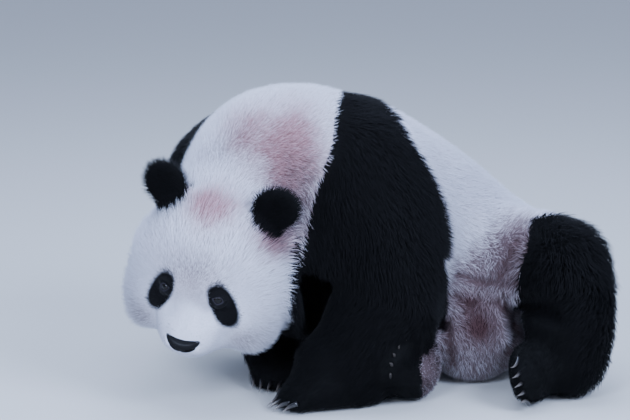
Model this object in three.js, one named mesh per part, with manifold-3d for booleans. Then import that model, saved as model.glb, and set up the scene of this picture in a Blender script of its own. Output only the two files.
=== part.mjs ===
// A life-size giant panda that sits on its rump, leans forward on its forelegs and lets its head hang low.
// Millimetres, +Z up, the floor at z = 0. The panda's front is at -Y, and its own left side is at +X.
import * as THREE from "three";
import { mergeVertices } from "three/addons/utils/BufferGeometryUtils.js";
import Module from "manifold-3d";

const wasm = await Module();
wasm.setup();

const point = (x, y, z) => new THREE.Vector3(x, y, z);
const ball = (x, y, z, r) => ({ at: point(x, y, z), r });

// ---------------------------------------------------------------- driving dimensions

const GAP = 0.6; // saw cut between two neighbouring pieces
const CLEAR = 0.4; // room carved for a piece that lies against another
const BODY_CELL = 62; // size of the facets on the big masses
const LIMB_CELL = 46; // size of the facets on the lower legs
const PAW_CELL = 26; // size of the facets on the paws and the tail
const HEAD_CELL = 30; // size of the facets on the head
const BLACK_CELL = 68; // size of the facets where white coat meets black

// The spine, from the seat to the back of the skull, with the radius of flesh and coat round it.
const SPINE = [
  ball(214, 320, 178, 200),
  ball(85, 274, 308, 189),
  ball(-60, 214, 402, 194),
  ball(-190, 198, 446, 168),
  ball(-268, 170, 396, 128),
];
// Flesh of the breast, which hangs between the forelegs.
const KEEL = [ball(-60, 190, 320, 150), ball(-112, 122, 214, 118)];
// Flesh of the groin, which rests on the floor between the hind legs.
const GROIN = [ball(212, 250, 112, 118), ball(218, 168, 72, 78)];
const BODY_BLEND = 60; // radius of the fillet where big masses of flesh run together

// Head: a frame of its own, with +X to the panda's left, -Y to the nose and +Z out of the crown.
const HEAD = { at: point(-314, 50, 288), yaw: -20.5, pitch: 34, roll: 13.5 };
const HEAD_BLEND = 44; // radius of the fillet between the skull, the cheeks and the muzzle
const HEAD_REACH = 210;
const SKULL = { rise: 22, width: 138, length: 150, height: 128 };
const CHEEK = { side: 84, forward: 4, rise: -4, r: 82 };
const JOWL = { side: 86, forward: 50, rise: -58, r: 84 };
const MUZZLE = { forward: 128, rise: -48, width: 68, length: 68, height: 54 };
const CHIN = { forward: 114, rise: -88, width: 48, length: 58, height: 34 };
const EYE = { side: 55.5, forward: 119, rise: 28.5, r: 13 };
const SOCKET = { r: 14.4, flare: 19, depth: 22, out: point(0.44, -0.89, 0.1) }; // the dip round an eye
const NOSE = { forward: 190, rise: -38, width: 29, length: 14, height: 18 };
const EAR = { side: 114, back: 46, rise: 137, r: 51, thick: 42, dish: 0.35, splay: 26, lean: 28 };
const NAPE = 88; // how far behind the middle of the skull the neck is cut off

// Legs, from the trunk down to the paw. Each is sawn through at its elbow or knee, the ball with that
// number, and at its wrist or ankle, part of the way from its last ball to the paw.
const FORELEG_LEFT = {
  balls: [
    ball(-6, 120, 440, 104), ball(30, 74, 320, 116), ball(36, 58, 206, 116), ball(2, 42, 110, 112),
    ball(-68, 20, 68, 86),
  ],
  pieces: ["shoulder_left", "forearm_left", "forepaw_left"],
  bend: 2,
};
const FORELEG_RIGHT = {
  balls: [
    ball(-212, 306, 450, 112), ball(-296, 335, 396, 126), ball(-262, 340, 230, 100),
    ball(-208, 272, 122, 90), ball(-190, 214, 66, 74),
  ],
  pieces: ["shoulder_right", "forearm_right", "forepaw_right"],
  bend: 2,
};
const HINDLEG_LEFT = {
  balls: [ball(270, 270, 180, 130), ball(380, 120, 256, 108), ball(404, 90, 160, 96), ball(406, 66, 76, 78)],
  pieces: ["thigh_left", "shank_left", "hindfoot_left"],
  bend: 1.5,
};
const HINDLEG_RIGHT = {
  balls: [ball(126, 300, 180, 126), ball(-10, 190, 214, 100), ball(46, 120, 140, 86), ball(78, 96, 76, 72)],
  pieces: ["thigh_right", "shank_right", "hindfoot_right"],
  bend: 1.5,
};
const LEGS = [FORELEG_LEFT, FORELEG_RIGHT, HINDLEG_LEFT, HINDLEG_RIGHT];

// Paws: where the ball of the foot is, which way its toes point and which way its upper side faces.
const PAWS = {
  forepaw_left: { at: point(-112, -14, 36), toward: point(-0.94, -0.34, -0.1), over: point(0, 0, 1) },
  forepaw_right: { at: point(-184, 148, 36), toward: point(-0.25, -1, -0.1), over: point(0, 0, 1) },
  hindfoot_left: { at: point(318, 10, 61), toward: point(-0.2, -0.97, 0.06), over: point(0.93, -0.2, 0.28) },
  hindfoot_right: { at: point(82, 16, 70), toward: point(-0.52, -0.64, 0.55), over: point(-0.86, 0.4, 0.3) },
};
const PAW = { width: 128, length: 150, height: 84, heel: 10 };
const TOE = { count: 5, spacing: 18.5, length: 24, r: 18, drop: 14, inset: 12, fan: 0.7, arc: 4.5, rise: 2 };
const TOE_BLEND = 14;
const PAW_BLEND = 24;
const PAW_REACH = 110;
const ANKLE = 0.3; // how far along from the last ball of a leg to its paw the paw is cut off
const CLAW = { length: 32, r: 5, bend: 46, back: 10, rise: 5 };

const TAIL = [ball(286, 452, 150, 54), ball(316, 496, 104, 50), ball(326, 514, 62, 42)];

// Where the black coat runs: from a point on the withers down over each shoulder and all of its leg,
// across the breast, and over each hind leg from mid-thigh.
const BLACK = {
  shoulder_left: [
    ball(-40, 210, 590, 62), ball(4, 92, 500, 88), ball(-4, 36, 350, 146), ball(14, 50, 180, 154),
  ],
  shoulder_right: [
    ball(-48, 240, 590, 62), ball(-104, 344, 502, 96), ball(-286, 366, 400, 160), ball(-264, 336, 210, 150),
  ],
  thigh_left: [ball(366, 172, 240, 106), ball(392, 104, 250, 132), ball(404, 80, 140, 132)],
  thigh_right: [ball(44, 236, 196, 116), ball(-14, 184, 216, 124), ball(50, 110, 130, 112)],
  breast: [ball(-150, 110, 250, 130), ball(-60, 180, 200, 130)],
};

// Saw cuts across the trunk, each a point on it and the way that it faces.
const WITHERS = { at: point(-44, 205, 400), facing: point(-0.95, -0.3, 0.1) };
const LOIN = { at: point(150, 294, 244), facing: point(0.66, 0.25, -0.7) };

const COLOURS = { white: 0xe4ddd8, black: 0x14141a, horn: 0x4a423c, nose: 0x17151a, eye: 0x120c08 };

// ---------------------------------------------------------------- shapes as distance fields

const blend = (a, b, k) => Math.min(a, b) - Math.max(k - Math.abs(a - b), 0) ** 2 / (4 * k);
const joined = (k, ...fields) => (p) => fields.map((f) => f(p)).reduce((a, b) => blend(a, b, k));

// A round mass that tapers from one ball to another.
function taper(a, b) {
  const line = b.at.clone().sub(a.at);
  const length2 = line.lengthSq();
  const q = new THREE.Vector3();
  return (p) => {
    const t = THREE.MathUtils.clamp(q.copy(p).sub(a.at).dot(line) / length2, 0, 1);
    q.copy(a.at).addScaledVector(line, t);
    return p.distanceTo(q) - (a.r + (b.r - a.r) * t);
  };
}

// A round mass that follows a smooth curve through several balls.
const PER_SPAN = 3;
function swept(balls) {
  const line = new THREE.CatmullRomCurve3(balls.map(({ at }) => at));
  const girth = new THREE.CatmullRomCurve3(balls.map(({ r }, i) => point(i, r, 0)));
  const n = PER_SPAN * (balls.length - 1);
  const station = (_, i) => ({ at: line.getPoint(i / n), r: girth.getPoint(i / n).y });
  const stations = Array.from({ length: n + 1 }, station);
  const spans = stations.slice(1).map((b, i) => taper(stations[i], b));
  return (p) => Math.min(...spans.map((f) => f(p)));
}

// An ellipsoid in a frame of its own.
function egg(frame, centre, radii) {
  const back = frame.clone().invert();
  const q = new THREE.Vector3();
  const n = new THREE.Vector3();
  return (p) => {
    q.copy(p).applyMatrix4(back).sub(centre);
    const k0 = n.copy(q).divide(radii).length();
    const k1 = n.divide(radii).length();
    return k1 > 0 ? (k0 * (k0 - 1)) / k1 : -Math.min(radii.x, radii.y, radii.z);
  };
}

// ---------------------------------------------------------------- from fields to solids

const CORNERS = [0, 1, 2, 3, 4, 5, 6, 7].map((n) => [n & 1, (n >> 1) & 1, (n >> 2) & 1]);
const EDGES = CORNERS.flatMap((_, a) => [1, 2, 4].filter((bit) => !(a & bit)).map((bit) => [a, a | bit]));
const STEPS = [[1, 0, 0], [0, 1, 0], [0, 0, 1]];

const solidFrom = (vertProperties, triVerts) =>
  new wasm.Manifold(new wasm.Mesh({ numProp: 3, vertProperties, triVerts }));

// The closed surface where a field is zero, drawn on a grid round some balls.
function surfaceOf(field, balls, cell, margin = 40) {
  const box = new THREE.Box3();
  for (const { at, r } of balls) {
    box.expandByPoint(at.clone().addScalar(-r - margin));
    box.expandByPoint(at.clone().addScalar(r + margin));
  }
  const size = box.getSize(new THREE.Vector3());
  const [nx, ny, nz] = [size.x, size.y, size.z].map((s) => Math.ceil(s / cell) + 1);
  const place = (i, j, k) => point(box.min.x + i * cell, box.min.y + j * cell, box.min.z + k * cell);
  const index = (i, j, k) => i + nx * (j + ny * k);
  const cells = [];
  const value = new Float64Array(nx * ny * nz);
  for (let k = 0; k < nz; k++)
    for (let j = 0; j < ny; j++)
      for (let i = 0; i < nx; i++) {
        const rim = i === 0 || j === 0 || k === 0 || i === nx - 1 || j === ny - 1 || k === nz - 1;
        const d = field(place(i, j, k));
        value[index(i, j, k)] = rim ? Math.max(d, cell / 2) : d;
        if (i < nx - 1 && j < ny - 1 && k < nz - 1) cells.push([i, j, k]);
      }
  const vertices = [];
  const at = new Map();
  for (const [i, j, k] of cells) {
    const v = CORNERS.map(([a, b, c]) => value[index(i + a, j + b, k + c)]);
    const crossings = EDGES.filter(([a, b]) => v[a] < 0 !== v[b] < 0);
    if (!crossings.length) continue;
    const sum = new THREE.Vector3();
    for (const [a, b] of crossings)
      sum.add(point(...CORNERS[a]).lerp(point(...CORNERS[b]), v[a] / (v[a] - v[b])));
    at.set(index(i, j, k), vertices.length);
    vertices.push(settle(field, place(i, j, k).addScaledVector(sum, cell / crossings.length), cell));
  }
  const triangles = [];
  for (const [i, j, k] of cells)
    STEPS.forEach(([a, b, c], axis) => {
      const inside = value[index(i, j, k)] < 0;
      if (inside === value[index(i + a, j + b, k + c)] < 0) return;
      const [u, w] = [STEPS[(axis + 1) % 3], STEPS[(axis + 2) % 3]];
      const quad = [[1, 1], [0, 1], [0, 0], [1, 0]].map(([m, n]) =>
        at.get(index(i - m * u[0] - n * w[0], j - m * u[1] - n * w[1], k - m * u[2] - n * w[2])),
      );
      if (!inside) quad.reverse();
      const [p, q, r, s] = quad.map((n) => vertices[n]);
      if (p.distanceTo(r) > q.distanceTo(s)) quad.push(quad.shift());
      triangles.push(quad[0], quad[1], quad[2], quad[0], quad[2], quad[3]);
    });
  return solidFrom(new Float32Array(vertices.flatMap((p) => [p.x, p.y, p.z])), new Uint32Array(triangles));
}

// Moves a corner of the surface onto the field's zero, by a few steps along its slope.
function settle(field, p, cell) {
  const e = cell / 20;
  const start = p.clone();
  for (let step = 0; step < 3; step++) {
    const d = field(p);
    const slope = point(
      field(point(p.x + e, p.y, p.z)) - d,
      field(point(p.x, p.y + e, p.z)) - d,
      field(point(p.x, p.y, p.z + e)) - d,
    ).divideScalar(e);
    const steep = slope.lengthSq();
    if (steep < 0.01) break;
    p.addScaledVector(slope, -d / steep);
    if (p.distanceTo(start) > cell * 0.45) return start;
  }
  return p;
}

// A closed three.js geometry as a solid.
function solidOf(geometry, matrix = new THREE.Matrix4()) {
  const g = geometry.clone().applyMatrix4(matrix);
  g.deleteAttribute("normal");
  g.deleteAttribute("uv");
  const merged = mergeVertices(g, 1e-3);
  return solidFrom(merged.attributes.position.array, new Uint32Array(merged.index.array));
}

function geometryOf(solid) {
  const { numProp, numVert, vertProperties, triVerts } = solid.getMesh();
  const positions = new Float32Array(numVert * 3);
  for (let i = 0; i < numVert; i++)
    positions.set(vertProperties.subarray(i * numProp, i * numProp + 3), i * 3);
  const geometry = new THREE.BufferGeometry();
  geometry.setAttribute("position", new THREE.BufferAttribute(positions, 3));
  geometry.setIndex(new THREE.BufferAttribute(triVerts, 1));
  return geometry;
}

// The same solid with each of its faces moved out, to carve room for it in a neighbour. Each corner
// goes to where the moved planes of the faces round it meet.
const STIFF = 1e-3;
const LONGEST = 3;
function swollen(solid, by) {
  const geometry = geometryOf(solid);
  const { position } = geometry.attributes;
  const corners = geometry.index.array;
  const at = (i) => new THREE.Vector3().fromBufferAttribute(position, i);
  const planes = Array.from({ length: position.count }, () => []);
  for (let t = 0; t < corners.length; t += 3) {
    const [a, b, c] = [0, 1, 2].map((n) => at(corners[t + n]));
    const normal = b.clone().sub(a).cross(c.clone().sub(a));
    const area = normal.length() / 2;
    const weight = area / (area + 1);
    normal.normalize();
    for (let n = 0; n < 3; n++) planes[corners[t + n]].push({ normal, weight });
  }
  planes.forEach((faces, i) => {
    const square = new Array(9).fill(0);
    const push = new THREE.Vector3();
    for (const { normal, weight } of faces) {
      const n = normal.toArray();
      for (let k = 0; k < 9; k++) square[k] += weight * n[k % 3] * n[Math.floor(k / 3)];
      push.addScaledVector(normal, weight * by);
    }
    for (const k of [0, 4, 8]) square[k] += STIFF;
    push.applyMatrix3(new THREE.Matrix3().fromArray(square).invert()).clampLength(0, LONGEST * by);
    position.setXYZ(i, ...at(i).add(push).toArray());
  });
  return solidFrom(position.array, corners);
}

const FAR = 3000;

// Half of space as a solid: what lies behind a plane that faces along its normal.
function behind(at, normal, shift = 0) {
  const out = normal.clone().normalize();
  const turn = new THREE.Quaternion().setFromUnitVectors(point(0, 0, 1), out);
  const centre = at.clone().addScaledVector(out, shift - FAR / 2);
  const placed = new THREE.Matrix4().compose(centre, turn, point(1, 1, 1));
  return solidOf(new THREE.BoxGeometry(FAR, FAR, FAR), placed);
}

// Saws a solid in two on a plane: the piece behind it and the piece in front.
const sawn = (solid, at, normal) => [
  solid.intersect(behind(at, normal, -GAP / 2)),
  solid.subtract(behind(at, normal, GAP / 2)),
];

// Parts a solid on the surface of another: the piece inside it and the piece left over.
const parted = (solid, knife) => [solid.intersect(knife), solid.subtract(swollen(knife, GAP))];

const boxOf = (solid) => new THREE.Box3().setFromBufferAttribute(geometryOf(solid).attributes.position);
const biggest = (solid) => solid.decompose().sort((a, b) => b.volume() - a.volume())[0];
const floor = behind(point(0, 0, 0), point(0, 0, 1));
const onFloor = (solid) => solid.subtract(floor);

// ---------------------------------------------------------------- head

const degrees = THREE.MathUtils.degToRad;
const headFrame = new THREE.Matrix4().compose(
  HEAD.at,
  new THREE.Quaternion().setFromEuler(
    new THREE.Euler(degrees(HEAD.pitch), degrees(HEAD.roll), degrees(HEAD.yaw), "ZXY"),
  ),
  point(1, 1, 1),
);
const inHead = (side, forward, rise) => point(side, -forward, rise).applyMatrix4(headFrame);

function headField() {
  const cheek = (s) => taper(
    { at: inHead(s * CHEEK.side, CHEEK.forward, CHEEK.rise), r: CHEEK.r },
    { at: inHead(s * JOWL.side, JOWL.forward, JOWL.rise), r: JOWL.r },
  );
  const lump = ({ forward = 0, rise, width, length, height }) =>
    egg(headFrame, point(0, -forward, rise), point(width, length, height));
  return joined(HEAD_BLEND, lump(SKULL), cheek(1), cheek(-1), lump(MUZZLE), lump(CHIN));
}

const onHead = (side, forward, rise) =>
  headFrame.clone().multiply(new THREE.Matrix4().makeTranslation(side, -forward, rise));

const eye = (s) =>
  solidOf(new THREE.SphereGeometry(EYE.r, 10, 8), onHead(s * EYE.side, EYE.forward, EYE.rise));

// The dip that holds an eye: round behind the eyeball, and widening in front of it out through the coat.
function socket(s) {
  const cup = new THREE.EllipseCurve(0, 0, SOCKET.r, SOCKET.r, -Math.PI / 2, 0).getPoints(3);
  const mouth = [new THREE.Vector2(SOCKET.flare, SOCKET.depth), new THREE.Vector2(0, SOCKET.depth)];
  const out = SOCKET.out.clone().multiply(point(s, 1, 1)).normalize();
  const turn = new THREE.Quaternion().setFromUnitVectors(point(0, 1, 0), out);
  const frame = onHead(s * EYE.side, EYE.forward, EYE.rise)
    .multiply(new THREE.Matrix4().makeRotationFromQuaternion(turn));
  const profile = [...cup, ...mouth].map(({ x, y }) => new THREE.Vector2(Math.max(x, 0), y));
  return solidOf(new THREE.LatheGeometry(profile, 12), frame);
}

// A round ear, dished at the front.
function ear(s) {
  const [r, t] = [EAR.r, EAR.thick / 2];
  const rim = new THREE.EllipseCurve(0, 0, r, t, -Math.PI / 2, Math.PI / 2).getPoints(8);
  const dished = (x, y) => (y > 0 ? y * EAR.dish * (x / r + 0.6) : y);
  const profile = rim.map(({ x, y }) => new THREE.Vector2(Math.max(x, 0), dished(x, y)));
  const frame = onHead(s * EAR.side, -EAR.back, EAR.rise)
    .multiply(new THREE.Matrix4().makeRotationY(degrees(s * EAR.splay)))
    .multiply(new THREE.Matrix4().makeRotationX(degrees(-EAR.lean)));
  frame.multiply(new THREE.Matrix4().makeRotationX(Math.PI));
  return solidOf(new THREE.LatheGeometry(profile, 14), frame);
}

const nose = () => solidOf(
  new THREE.SphereGeometry(1, 12, 8).scale(NOSE.width, NOSE.length, NOSE.height),
  onHead(0, NOSE.forward, NOSE.rise),
);

// ---------------------------------------------------------------- paws and claws

function pawFrame({ at, toward, over }) {
  const y = toward.clone().normalize().negate();
  const x = y.clone().cross(over).normalize();
  return new THREE.Matrix4().makeBasis(x, y, x.clone().cross(y)).setPosition(at);
}

// Where each toe begins and ends, in its paw's frame: the middle toes reach furthest.
const toes = Array.from({ length: TOE.count }, (_, i) => {
  const side = i - (TOE.count - 1) / 2;
  const reach = PAW.length / 2 - TOE.inset - TOE.arc * side * side;
  return {
    root: point(side * TOE.spacing * TOE.fan, -reach + TOE.length, TOE.rise),
    tip: point(side * TOE.spacing, -reach, -TOE.drop),
  };
});

function pawField(paw) {
  const frame = pawFrame(paw);
  const toe = ({ root, tip }) => taper(
    { at: root.clone().applyMatrix4(frame), r: TOE.r },
    { at: tip.clone().applyMatrix4(frame), r: TOE.r },
  );
  const palm = egg(frame, point(0, PAW.heel, 0), point(PAW.width / 2, PAW.length / 2, PAW.height / 2));
  return joined(TOE_BLEND, palm, ...toes.map(toe));
}

// A horny claw: a cone that bends down towards its point.
function claw(paw, { tip }) {
  const cone = new THREE.ConeGeometry(CLAW.r, CLAW.length, 5, 2).translate(0, CLAW.length / 2, 0);
  const p = cone.attributes.position;
  const radius = CLAW.length / degrees(CLAW.bend);
  for (let i = 0; i < p.count; i++) {
    const a = p.getY(i) / radius;
    const out = radius - p.getZ(i);
    p.setXYZ(i, p.getX(i), -Math.sin(a) * out, Math.cos(a) * out - radius);
  }
  const root = new THREE.Matrix4().makeTranslation(tip.x, tip.y - CLAW.back, tip.z + CLAW.rise);
  return solidOf(cone, pawFrame(paw).multiply(root));
}

// ---------------------------------------------------------------- the whole animal

const between = (balls, n) => balls[Math.floor(n)].at.clone().lerp(balls[Math.ceil(n)].at, n % 1);

// The trunk with the upper legs, and the skull so that the neck runs smoothly into it.
const uppers = LEGS.map(({ balls, bend }) => balls.slice(0, Math.ceil(bend) + 1));
const skull = headField();
const bodyField = joined(BODY_BLEND, swept(SPINE), swept(KEEL), swept(GROIN), ...uppers.map(swept), skull);
const wholeBody = onFloor(surfaceOf(bodyField, [...SPINE, ...uppers.flat()], BODY_CELL));
const headAndNeck = joined(BODY_BLEND, skull, swept(SPINE));
const wholeHead = surfaceOf(headAndNeck, [{ at: HEAD.at, r: HEAD_REACH }], HEAD_CELL, 0);
const napeAt = inHead(0, -NAPE, 0);
const ahead = inHead(0, 1, 0).sub(inHead(0, 0, 0));

let body = wholeBody;
const flesh = { head: sawn(wholeHead, napeAt, ahead)[1].subtract(socket(1)).subtract(socket(-1)) };
for (const { balls, pieces, bend } of LEGS) {
  const [top, middle, end] = pieces;
  const paw = PAWS[end];
  const bendAt = between(balls, bend);
  const down = balls[Math.floor(bend) + 1].at.clone().sub(balls[Math.floor(bend)].at);
  const ankleAt = balls.at(-1).at.clone().lerp(paw.at, ANKLE);
  const out = paw.at.clone().sub(balls.at(-1).at);
  const lowerBalls = balls.slice(Math.floor(bend));
  const lowerField = swept(lowerBalls);
  const footField = joined(PAW_BLEND, pawField(paw), lowerField);
  const lower = onFloor(surfaceOf(lowerField, lowerBalls, LIMB_CELL));
  const foot = onFloor(surfaceOf(footField, [{ at: paw.at, r: PAW_REACH }], PAW_CELL, 0));
  flesh[end] = sawn(foot, ankleAt, out)[1];
  flesh[middle] = sawn(sawn(lower, bendAt, down)[1], ankleAt, out)[0];
  const [inside, rest] = parted(body, surfaceOf(swept(BLACK[top]), BLACK[top], BLACK_CELL));
  flesh[top] = sawn(inside, bendAt, down)[0];
  body = rest;
}
const [breast, white] = parted(body, surfaceOf(swept(BLACK.breast), BLACK.breast, BLACK_CELL));
const [hind, fore] = sawn(white, WITHERS.at, WITHERS.facing);
const neck = sawn(fore, napeAt, ahead)[0];
const [trunk, rump] = sawn(hind, LOIN.at, LOIN.facing);
const tail = onFloor(surfaceOf(swept(TAIL), TAIL, PAW_CELL));
Object.assign(flesh, { breast, neck, trunk, rump, tail });

// ---------------------------------------------------------------- laying the pieces together

const panda = new THREE.Group();
const laid = [];

// Adds a piece, carved back wherever it would reach into one that is already there.
function lay(name, solid, colour, roughness = 0.9) {
  const box = boxOf(solid);
  const near = laid.filter((other) => box.intersectsBox(other.box));
  const piece = biggest(near.reduce((rest, other) => rest.subtract(other.room), solid));
  laid.push({ room: swollen(piece, CLEAR), box: boxOf(piece) });
  const material = new THREE.MeshStandardMaterial({ color: colour, roughness, metalness: 0 });
  const mesh = new THREE.Mesh(geometryOf(piece), material);
  mesh.name = name;
  panda.add(mesh);
}

const SIDES = { left: 1, right: -1 };
for (const [side, s] of Object.entries(SIDES)) lay(`eye_${side}`, eye(s), COLOURS.eye, 0.1);
lay("head", flesh.head, COLOURS.white);
lay("nose", nose(), COLOURS.nose, 0.4);
for (const side of ["left", "right"])
  for (const part of ["forepaw", "hindfoot"]) lay(`${part}_${side}`, flesh[`${part}_${side}`], COLOURS.black);
for (const [name, paw] of Object.entries(PAWS))
  toes.forEach((toe, i) => lay(`${name}_claw_${i + 1}`, claw(paw, toe), COLOURS.horn, 0.4));
for (const side of ["left", "right"])
  for (const part of ["forearm", "shank", "shoulder", "thigh"])
    lay(`${part}_${side}`, flesh[`${part}_${side}`], COLOURS.black);
lay("breast", flesh.breast, COLOURS.black);
for (const part of ["neck", "trunk", "rump", "tail"]) lay(part, flesh[part], COLOURS.white);
for (const [side, s] of Object.entries(SIDES)) lay(`ear_${side}`, ear(s), COLOURS.black);

// The origin stands under the middle of the animal.
const middle = new THREE.Box3().setFromObject(panda).getCenter(new THREE.Vector3());
panda.position.set(-middle.x, -middle.y, 0);

export default panda;
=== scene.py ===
"""Looks of a life-size giant panda that sits on its rump and leans forward with its head hung low.

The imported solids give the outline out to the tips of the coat. One skin lies inside them by the coat's
depth, with the folds of the face worked into it, and tufts of solid hair grow from it along the lie of the
coat. Eyes, nose and claws are pieces of their own.
"""
import logging
import math
from dataclasses import dataclass
from enum import Enum

import bmesh
import bpy
import numpy as np
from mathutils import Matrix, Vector
from mathutils.bvhtree import BVHTree
from mathutils.kdtree import KDTree


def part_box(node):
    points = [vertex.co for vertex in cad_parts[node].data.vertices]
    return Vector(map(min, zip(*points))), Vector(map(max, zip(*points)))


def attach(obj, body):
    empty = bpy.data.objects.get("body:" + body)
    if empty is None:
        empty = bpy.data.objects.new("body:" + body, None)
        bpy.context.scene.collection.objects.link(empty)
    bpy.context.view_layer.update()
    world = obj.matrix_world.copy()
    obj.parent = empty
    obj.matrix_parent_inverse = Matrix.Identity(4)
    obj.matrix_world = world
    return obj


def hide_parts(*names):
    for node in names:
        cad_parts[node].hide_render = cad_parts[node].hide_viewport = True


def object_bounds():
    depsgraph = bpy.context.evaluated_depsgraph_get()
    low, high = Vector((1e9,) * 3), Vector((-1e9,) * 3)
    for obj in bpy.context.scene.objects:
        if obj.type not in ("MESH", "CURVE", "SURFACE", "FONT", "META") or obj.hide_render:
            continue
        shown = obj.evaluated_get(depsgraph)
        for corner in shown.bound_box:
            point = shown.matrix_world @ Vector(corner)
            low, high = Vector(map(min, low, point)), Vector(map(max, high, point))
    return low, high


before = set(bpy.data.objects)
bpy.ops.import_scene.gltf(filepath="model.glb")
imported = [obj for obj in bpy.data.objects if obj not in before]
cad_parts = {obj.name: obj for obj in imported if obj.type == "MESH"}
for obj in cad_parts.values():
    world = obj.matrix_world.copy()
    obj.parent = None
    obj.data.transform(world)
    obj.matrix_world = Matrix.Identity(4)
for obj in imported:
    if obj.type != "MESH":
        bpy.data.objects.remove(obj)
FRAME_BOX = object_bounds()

logging.basicConfig(level=logging.INFO, format="%(message)s")
log = logging.getLogger("panda")

MM = 0.001
ROOT = "root"
BAKE_MAP = "OFBake"
Array = np.ndarray
Socket = bpy.types.NodeSocket
Triple = tuple[float, float, float]


# ---------------------------------------------------------------- colours and finishes


class Hue(Enum):
    """Colours of the animal and of the room round it, as sRGB."""

    FUR_TIP = "#f1f3ff"
    FUR_ROOT = "#b9b0b6"
    BLUSH = "#c98f99"
    # Earth brown of soil, which also serves for painted shade on brow and cheeks.
    EARTH = "#4e393b"
    EARTH_TIP = "#8b7477"
    DISC = "#3a2326"
    DISC_TIP = "#6f5153"
    CREVICE = "#8d7a80"
    BLACK_TIP = "#0d0c0e"
    BLACK_ROOT = "#060606"
    BARE_SKIN = "#8a5a58"
    BLACK_SKIN = "#0b0a0c"
    NOSE = "#060507"
    HORN_ROOT = "#141214"
    # Pale tip of a claw, partly its own colour and partly a painted highlight.
    HORN_TIP = "#6d655f"
    PUPIL = "#020202"
    IRIS = "#150d09"
    SCLERA = "#1d1614"
    # Lighter grey of the lids' rims, a painted highlight of their wet edges.
    LID = "#2f2c33"
    FLOOR = "#d9d8d5"
    SKY = "#bfd1f8"
    CLOUD_LIGHT = "#c9dbff"
    GLINT_LIGHT = "#eef3ff"


def linear(hue: Hue) -> tuple[float, float, float, float]:
    """Turns an sRGB hex colour into linear RGBA.

    Args:
        hue: A colour of the palette.
    Returns:
        Linear red, green, blue and alpha.
    """
    parts = [int(hue.value[i : i + 2], 16) / 255 for i in (1, 3, 5)]
    return tuple(c / 12.92 if c <= 0.04045 else ((c + 0.055) / 1.055) ** 2.4 for c in parts) + (1.0,)


@dataclass(frozen=True)
class Finish:
    """Constants of a surface's shader."""

    roughness: float
    specular: float = 0.5
    sheen: float = 0.0
    sheen_roughness: float = 0.5
    coat: float = 0.0
    coat_roughness: float = 0.03


FUR = Finish(roughness=0.75, specular=0.12, sheen=0.03)
WET_PAD = Finish(roughness=0.55, specular=0.14, coat=0.07, coat_roughness=0.3)
HORN = Finish(roughness=0.3, coat=0.5, coat_roughness=0.12)
WET_EYE = Finish(roughness=0.2, specular=0.12, coat=0.35, coat_roughness=0.02)
MATTE_FLOOR = Finish(roughness=0.9, specular=0.1)


# ---------------------------------------------------------------- coat, region by region


@dataclass(frozen=True)
class Pelage:
    """Coat of one region. Lengths in millimetres, angles in degrees.

    depth is how far the skin lies inside the outline, rise how steeply a tuft stands off the skin, clump
    the share by which tips gather, polish how far the skin is smoothed, from 0 to 1, and veer by how many
    radians the tufts stray to either side.
    """

    depth: float
    length: float
    width: float
    rise: float
    spacing: float
    clump: float
    polish: float
    black: bool = False
    veer: float = 0.18


PELAGE = {
    "head": Pelage(8, 18, 1.2, 28, 1.95, 0.18, 0.2),
    "neck": Pelage(10, 18, 1.3, 38, 2.15, 0.3, 1.0, veer=0.45),
    "trunk": Pelage(9, 24, 1.35, 25, 2.35, 0.22, 1.0),
    "rump": Pelage(10, 28, 1.5, 25, 2.5, 0.36, 1.0),
    "tail": Pelage(10, 28, 1.5, 26, 2.6, 0.34, 0.5),
    "breast": Pelage(12, 32, 1.8, 28, 3.1, 0.3, 1.0, black=True),
    "shoulder": Pelage(11, 34, 1.8, 24, 2.8, 0.3, 1.0, black=True),
    "forearm": Pelage(10, 30, 1.8, 25, 2.9, 0.3, 0.8, black=True),
    "thigh": Pelage(18, 40, 1.9, 46, 3.0, 0.5, 0.9, black=True),
    "shank": Pelage(12, 32, 1.8, 28, 3.0, 0.4, 0.6, black=True),
    "forepaw": Pelage(5, 15, 1.5, 24, 2.6, 0.3, 0.12, black=True),
    "hindfoot": Pelage(5, 14, 1.5, 24, 2.6, 0.3, 0.12, black=True),
    "ear": Pelage(4, 17, 1.2, 58, 1.9, 0.2, 0.12, black=True),
}


# ---------------------------------------------------------------- numbers and places


def unit(v: Array) -> Array:
    """Vectors of length one, along the last axis."""
    return v / np.maximum(np.linalg.norm(v, axis=-1, keepdims=True), 1e-12)


def smoothstep(low: float, high: float, x: Array) -> Array:
    """Rises smoothly from 0 at low to 1 at high."""
    t = np.clip((x - low) / (high - low), 0, 1)
    return t * t * (3 - 2 * t)


def bell(away: Array, width: float = 1.0) -> Array:
    """1 where away is 0, and falls to nearly 0 at twice the width on either side."""
    return np.exp(-((away / width) ** 2))


def family(node: str) -> str:
    """A node's name without its side."""
    return node.replace("_left", "").replace("_right", "")


def mid(node: str) -> Array:
    """Middle of a node's box, in metres."""
    low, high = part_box(node)
    return np.array((low + high) / 2)


def within(box: tuple[Vector, Vector], shares: tuple) -> Array:
    """Places that are given as shares of a box, in metres."""
    low, high = (np.array(c) for c in box)
    return low + (high - low) * np.array(shares)


def shares_of(box: tuple[Vector, Vector], points: Array) -> Array:
    """Where points lie in a box, as shares of its sides."""
    low, high = (np.array(c) for c in box)
    return (points - low) / (high - low)


@dataclass(frozen=True)
class Ripple:
    """Smooth noise between about minus and plus its strength, with features of a size in metres."""

    size: float
    seed: int
    strength: float

    WAVES = 7
    STEPS = (0.6, 1.6)
    PEAK = 3.2

    def cover(self, points: Array) -> Array:
        """Works out the noise.

        Args:
            points: Places in metres.
        Returns:
            One value for each point.
        """
        rng = np.random.default_rng(self.seed)
        total = np.zeros(len(points))
        for _ in range(self.WAVES):
            turn = unit(rng.normal(size=3)) * rng.uniform(*self.STEPS) * math.tau / self.size
            total += np.sin(points @ turn + rng.uniform(0, math.tau))
        return total / self.PEAK * self.strength


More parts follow.
